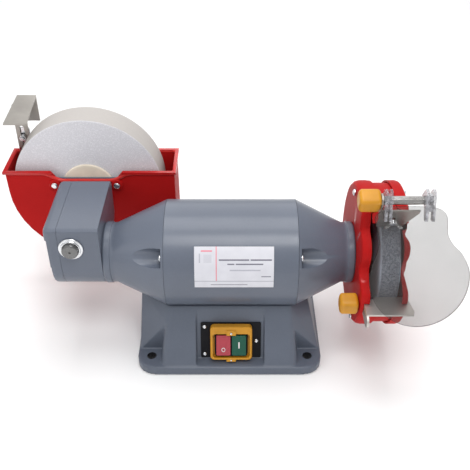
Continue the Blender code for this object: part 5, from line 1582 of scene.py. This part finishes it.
def finished(node, mesh, slot, edge=None, name=None, stands=True, finish=None):
    """A piece in its final place: edges rounded, its material on, riding on the node's body."""
    piece = bpy.data.objects.new(name or node + "_skin", mesh)
    bpy.context.scene.collection.objects.link(piece)
    mesh.materials.clear()
    mesh.materials.append(look(finish or slot))
    mesh.shade_smooth()
    bevel = piece.modifiers.new("edge", "BEVEL")
    bevel.width = edge or EDGE.get(node, PLAIN_EDGE)
    bevel.segments = 3
    bevel.limit_method = "ANGLE"
    bevel.angle_limit = math.radians(30)
    bevel.miter_outer = "MITER_ARC"
    piece.modifiers.new("shade", "WEIGHTED_NORMAL")
    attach(piece, body_of(node))
    if stands:
        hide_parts(node)
    return piece


def cast_base():
    """The base as a casting: the solid with its recess is softened first, and the other cuts stay sharp."""
    raw = bpy.data.objects["raw_base_casting"]
    cuts = [m for m in raw.modifiers if m.operation == "DIFFERENCE"]
    cutters = [m.object for m in cuts]
    for modifier in cuts:
        raw.modifiers.remove(modifier)
    recess = next(cutter for cutter in cutters if "recess" in cutter)
    blended = raw.modifiers.new("recess", "BOOLEAN")
    blended.solver = "EXACT"
    blended.object = recess
    remesh = raw.modifiers.new("remesh", "REMESH")
    remesh.mode = "VOXEL"
    remesh.voxel_size = 0.0011
    soften = raw.modifiers.new("soften", "SMOOTH")
    soften.factor = 0.5
    soften.iterations = 4
    for cutter in cutters:
        if cutter is not recess:
            cut = raw.modifiers.new("cut", "BOOLEAN")
            cut.solver = "EXACT"
            cut.object = cutter


def build():
    """Build every raw piece, then finish them and give the CAD nodes the same materials."""
    frame_empty("switch_plane", SWITCH_CENTRE, (math.pi / 2 - SWITCH_SLOPE, 0, 0))
    base_casting()
    base_plate()
    cable_gland()
    switch()
    motor_shell()
    end_bell("left_end_bell", SHELL_LEFT, CONE_LEFT, NECK_LEFT, BEARINGS["left_bearing"], -1)
    end_bell("right_end_bell", SHELL_RIGHT, CONE_RIGHT, NECK_RIGHT, BEARINGS["right_bearing"], 1)
    tie_bolts()
    type_plate()
    dry_wheel()
    guard_inner_cover()
    guard_outer_cover()
    guard_band()
    guard_bolts()
    plane = spark_plane()
    spark_bracket(plane)
    wing_screw(plane)
    shield(frame_empty("shield_plane", (DRY_MIDDLE, ROD_Y, ROD_Z), (SHIELD_LEAN, 0, 0)))
    knob("shield_knob", BIG_KNOB, BIG_KNOB * 0.86, bore=ROD_R + GAP, depth=0.016,
         location=(BIG_KNOB_X, ROD_Y, ROD_Z), tilt=math.radians(20))
    knob("rest_knob", SMALL_KNOB, SMALL_KNOB * 0.95, bore=0.0026, depth=0.0120,
         location=(GUARD_LEFT - GAP, *REST_BOLT), tilt=math.radians(8))
    dry_rest()
    gear_housing()
    gear_cover()
    front_end()
    wet_side()
    water_tray()
    wet_rest_bracket()
    wet_rest()
    wet_rest_clamp()
    cast_base()
    switch_details()
    tray_rim()
    raw = [o for o in bpy.data.objects if o.name.startswith("raw_") and "cutter" not in o]
    for obj in raw:
        node = obj.name[4:]
        finish = obj.get("finish")
        if node in frame["nodes"]:
            finished(node, baked(obj), obj["slot"], finish=finish)
        elif "rides" in obj:
            finished(obj["rides"], baked(obj), obj["slot"], edge=DETAIL_EDGE, name=node, stands=False,
                     finish=finish)
    for obj in list(bpy.data.objects):
        if obj.name.startswith("raw_") or obj.name in ("switch_plane", "spark_plane", "shield_plane"):
            bpy.data.objects.remove(obj, do_unlink=True)
    for obj in frame["nodes"].values():
        for held in obj.material_slots:
            held.material = look(held.material.name)


# Lamps: place, size and power in watts
LIGHTS = (
    ("key", (0.1, -0.9, 1.8), 0.7, 13),
    ("fill", (-1.3, -0.9, 1.3), 1.2, 4),
    ("top", (0.0, 0.3, 1.9), 1.0, 13),
    ("back", (0.0, 2.2, 1.7), 2.0, 14),
)
LAMP_AIM = Vector((0, 0, 0.12))
WORLD_LIGHT = 0.62
CAMERA_PLACE = (0.00723, -0.72355, 0.68972)
CAMERA_TILT = math.radians(53.81)
CAMERA_LENS = 54.91
FLOOR_HALF = 4


def stage():
    """Camera, floor and soft light."""
    camera = bpy.data.objects.new("camera", bpy.data.cameras.new("camera"))
    camera.data.sensor_width = 36
    camera.data.lens = CAMERA_LENS
    camera.location = CAMERA_PLACE
    camera.rotation_euler = (CAMERA_TILT, 0, 0)
    bpy.context.scene.collection.objects.link(camera)
    bpy.context.scene.camera = camera

    floor_material, tree, shader = new_shader("floor")
    base = ramp_node(tree, noise(tree, 3, 3), [(0.3, (0.93, 0.93, 0.93)), (0.7, (0.95, 0.95, 0.95))])
    link(tree, base, shader.inputs["Base Color"])
    shader.inputs["Roughness"].default_value = 0.9
    relief(tree, shader, [(noise(tree, 120, 2), 0.03, 0.0003)])
    sheet = block((-FLOOR_HALF, -FLOOR_HALF, -0.021), (FLOOR_HALF, FLOOR_HALF, -0.001))
    mesh = bpy.data.meshes.new("floor")
    sheet.to_mesh(mesh)
    sheet.free()
    floor = bpy.data.objects.new("floor", mesh)
    mesh.materials.append(floor_material)
    bpy.context.scene.collection.objects.link(floor)

    for name, place_at, size, power in LIGHTS:
        lamp = bpy.data.objects.new(name, bpy.data.lights.new(name, "AREA"))
        lamp.data.size = size
        lamp.data.energy = power
        lamp.location = place_at
        lamp.rotation_euler = (LAMP_AIM - Vector(place_at)).to_track_quat("-Z", "Y").to_euler()
        bpy.context.scene.collection.objects.link(lamp)

    world = bpy.data.worlds.new("world")
    world.use_nodes = True
    sky = world.node_tree.nodes["Background"]
    sky.inputs["Color"].default_value = (1, 1, 1, 1)
    sky.inputs["Strength"].default_value = WORLD_LIGHT
    bpy.context.scene.world = world
    bpy.context.scene.view_settings.view_transform = "Standard"


build()
stage()
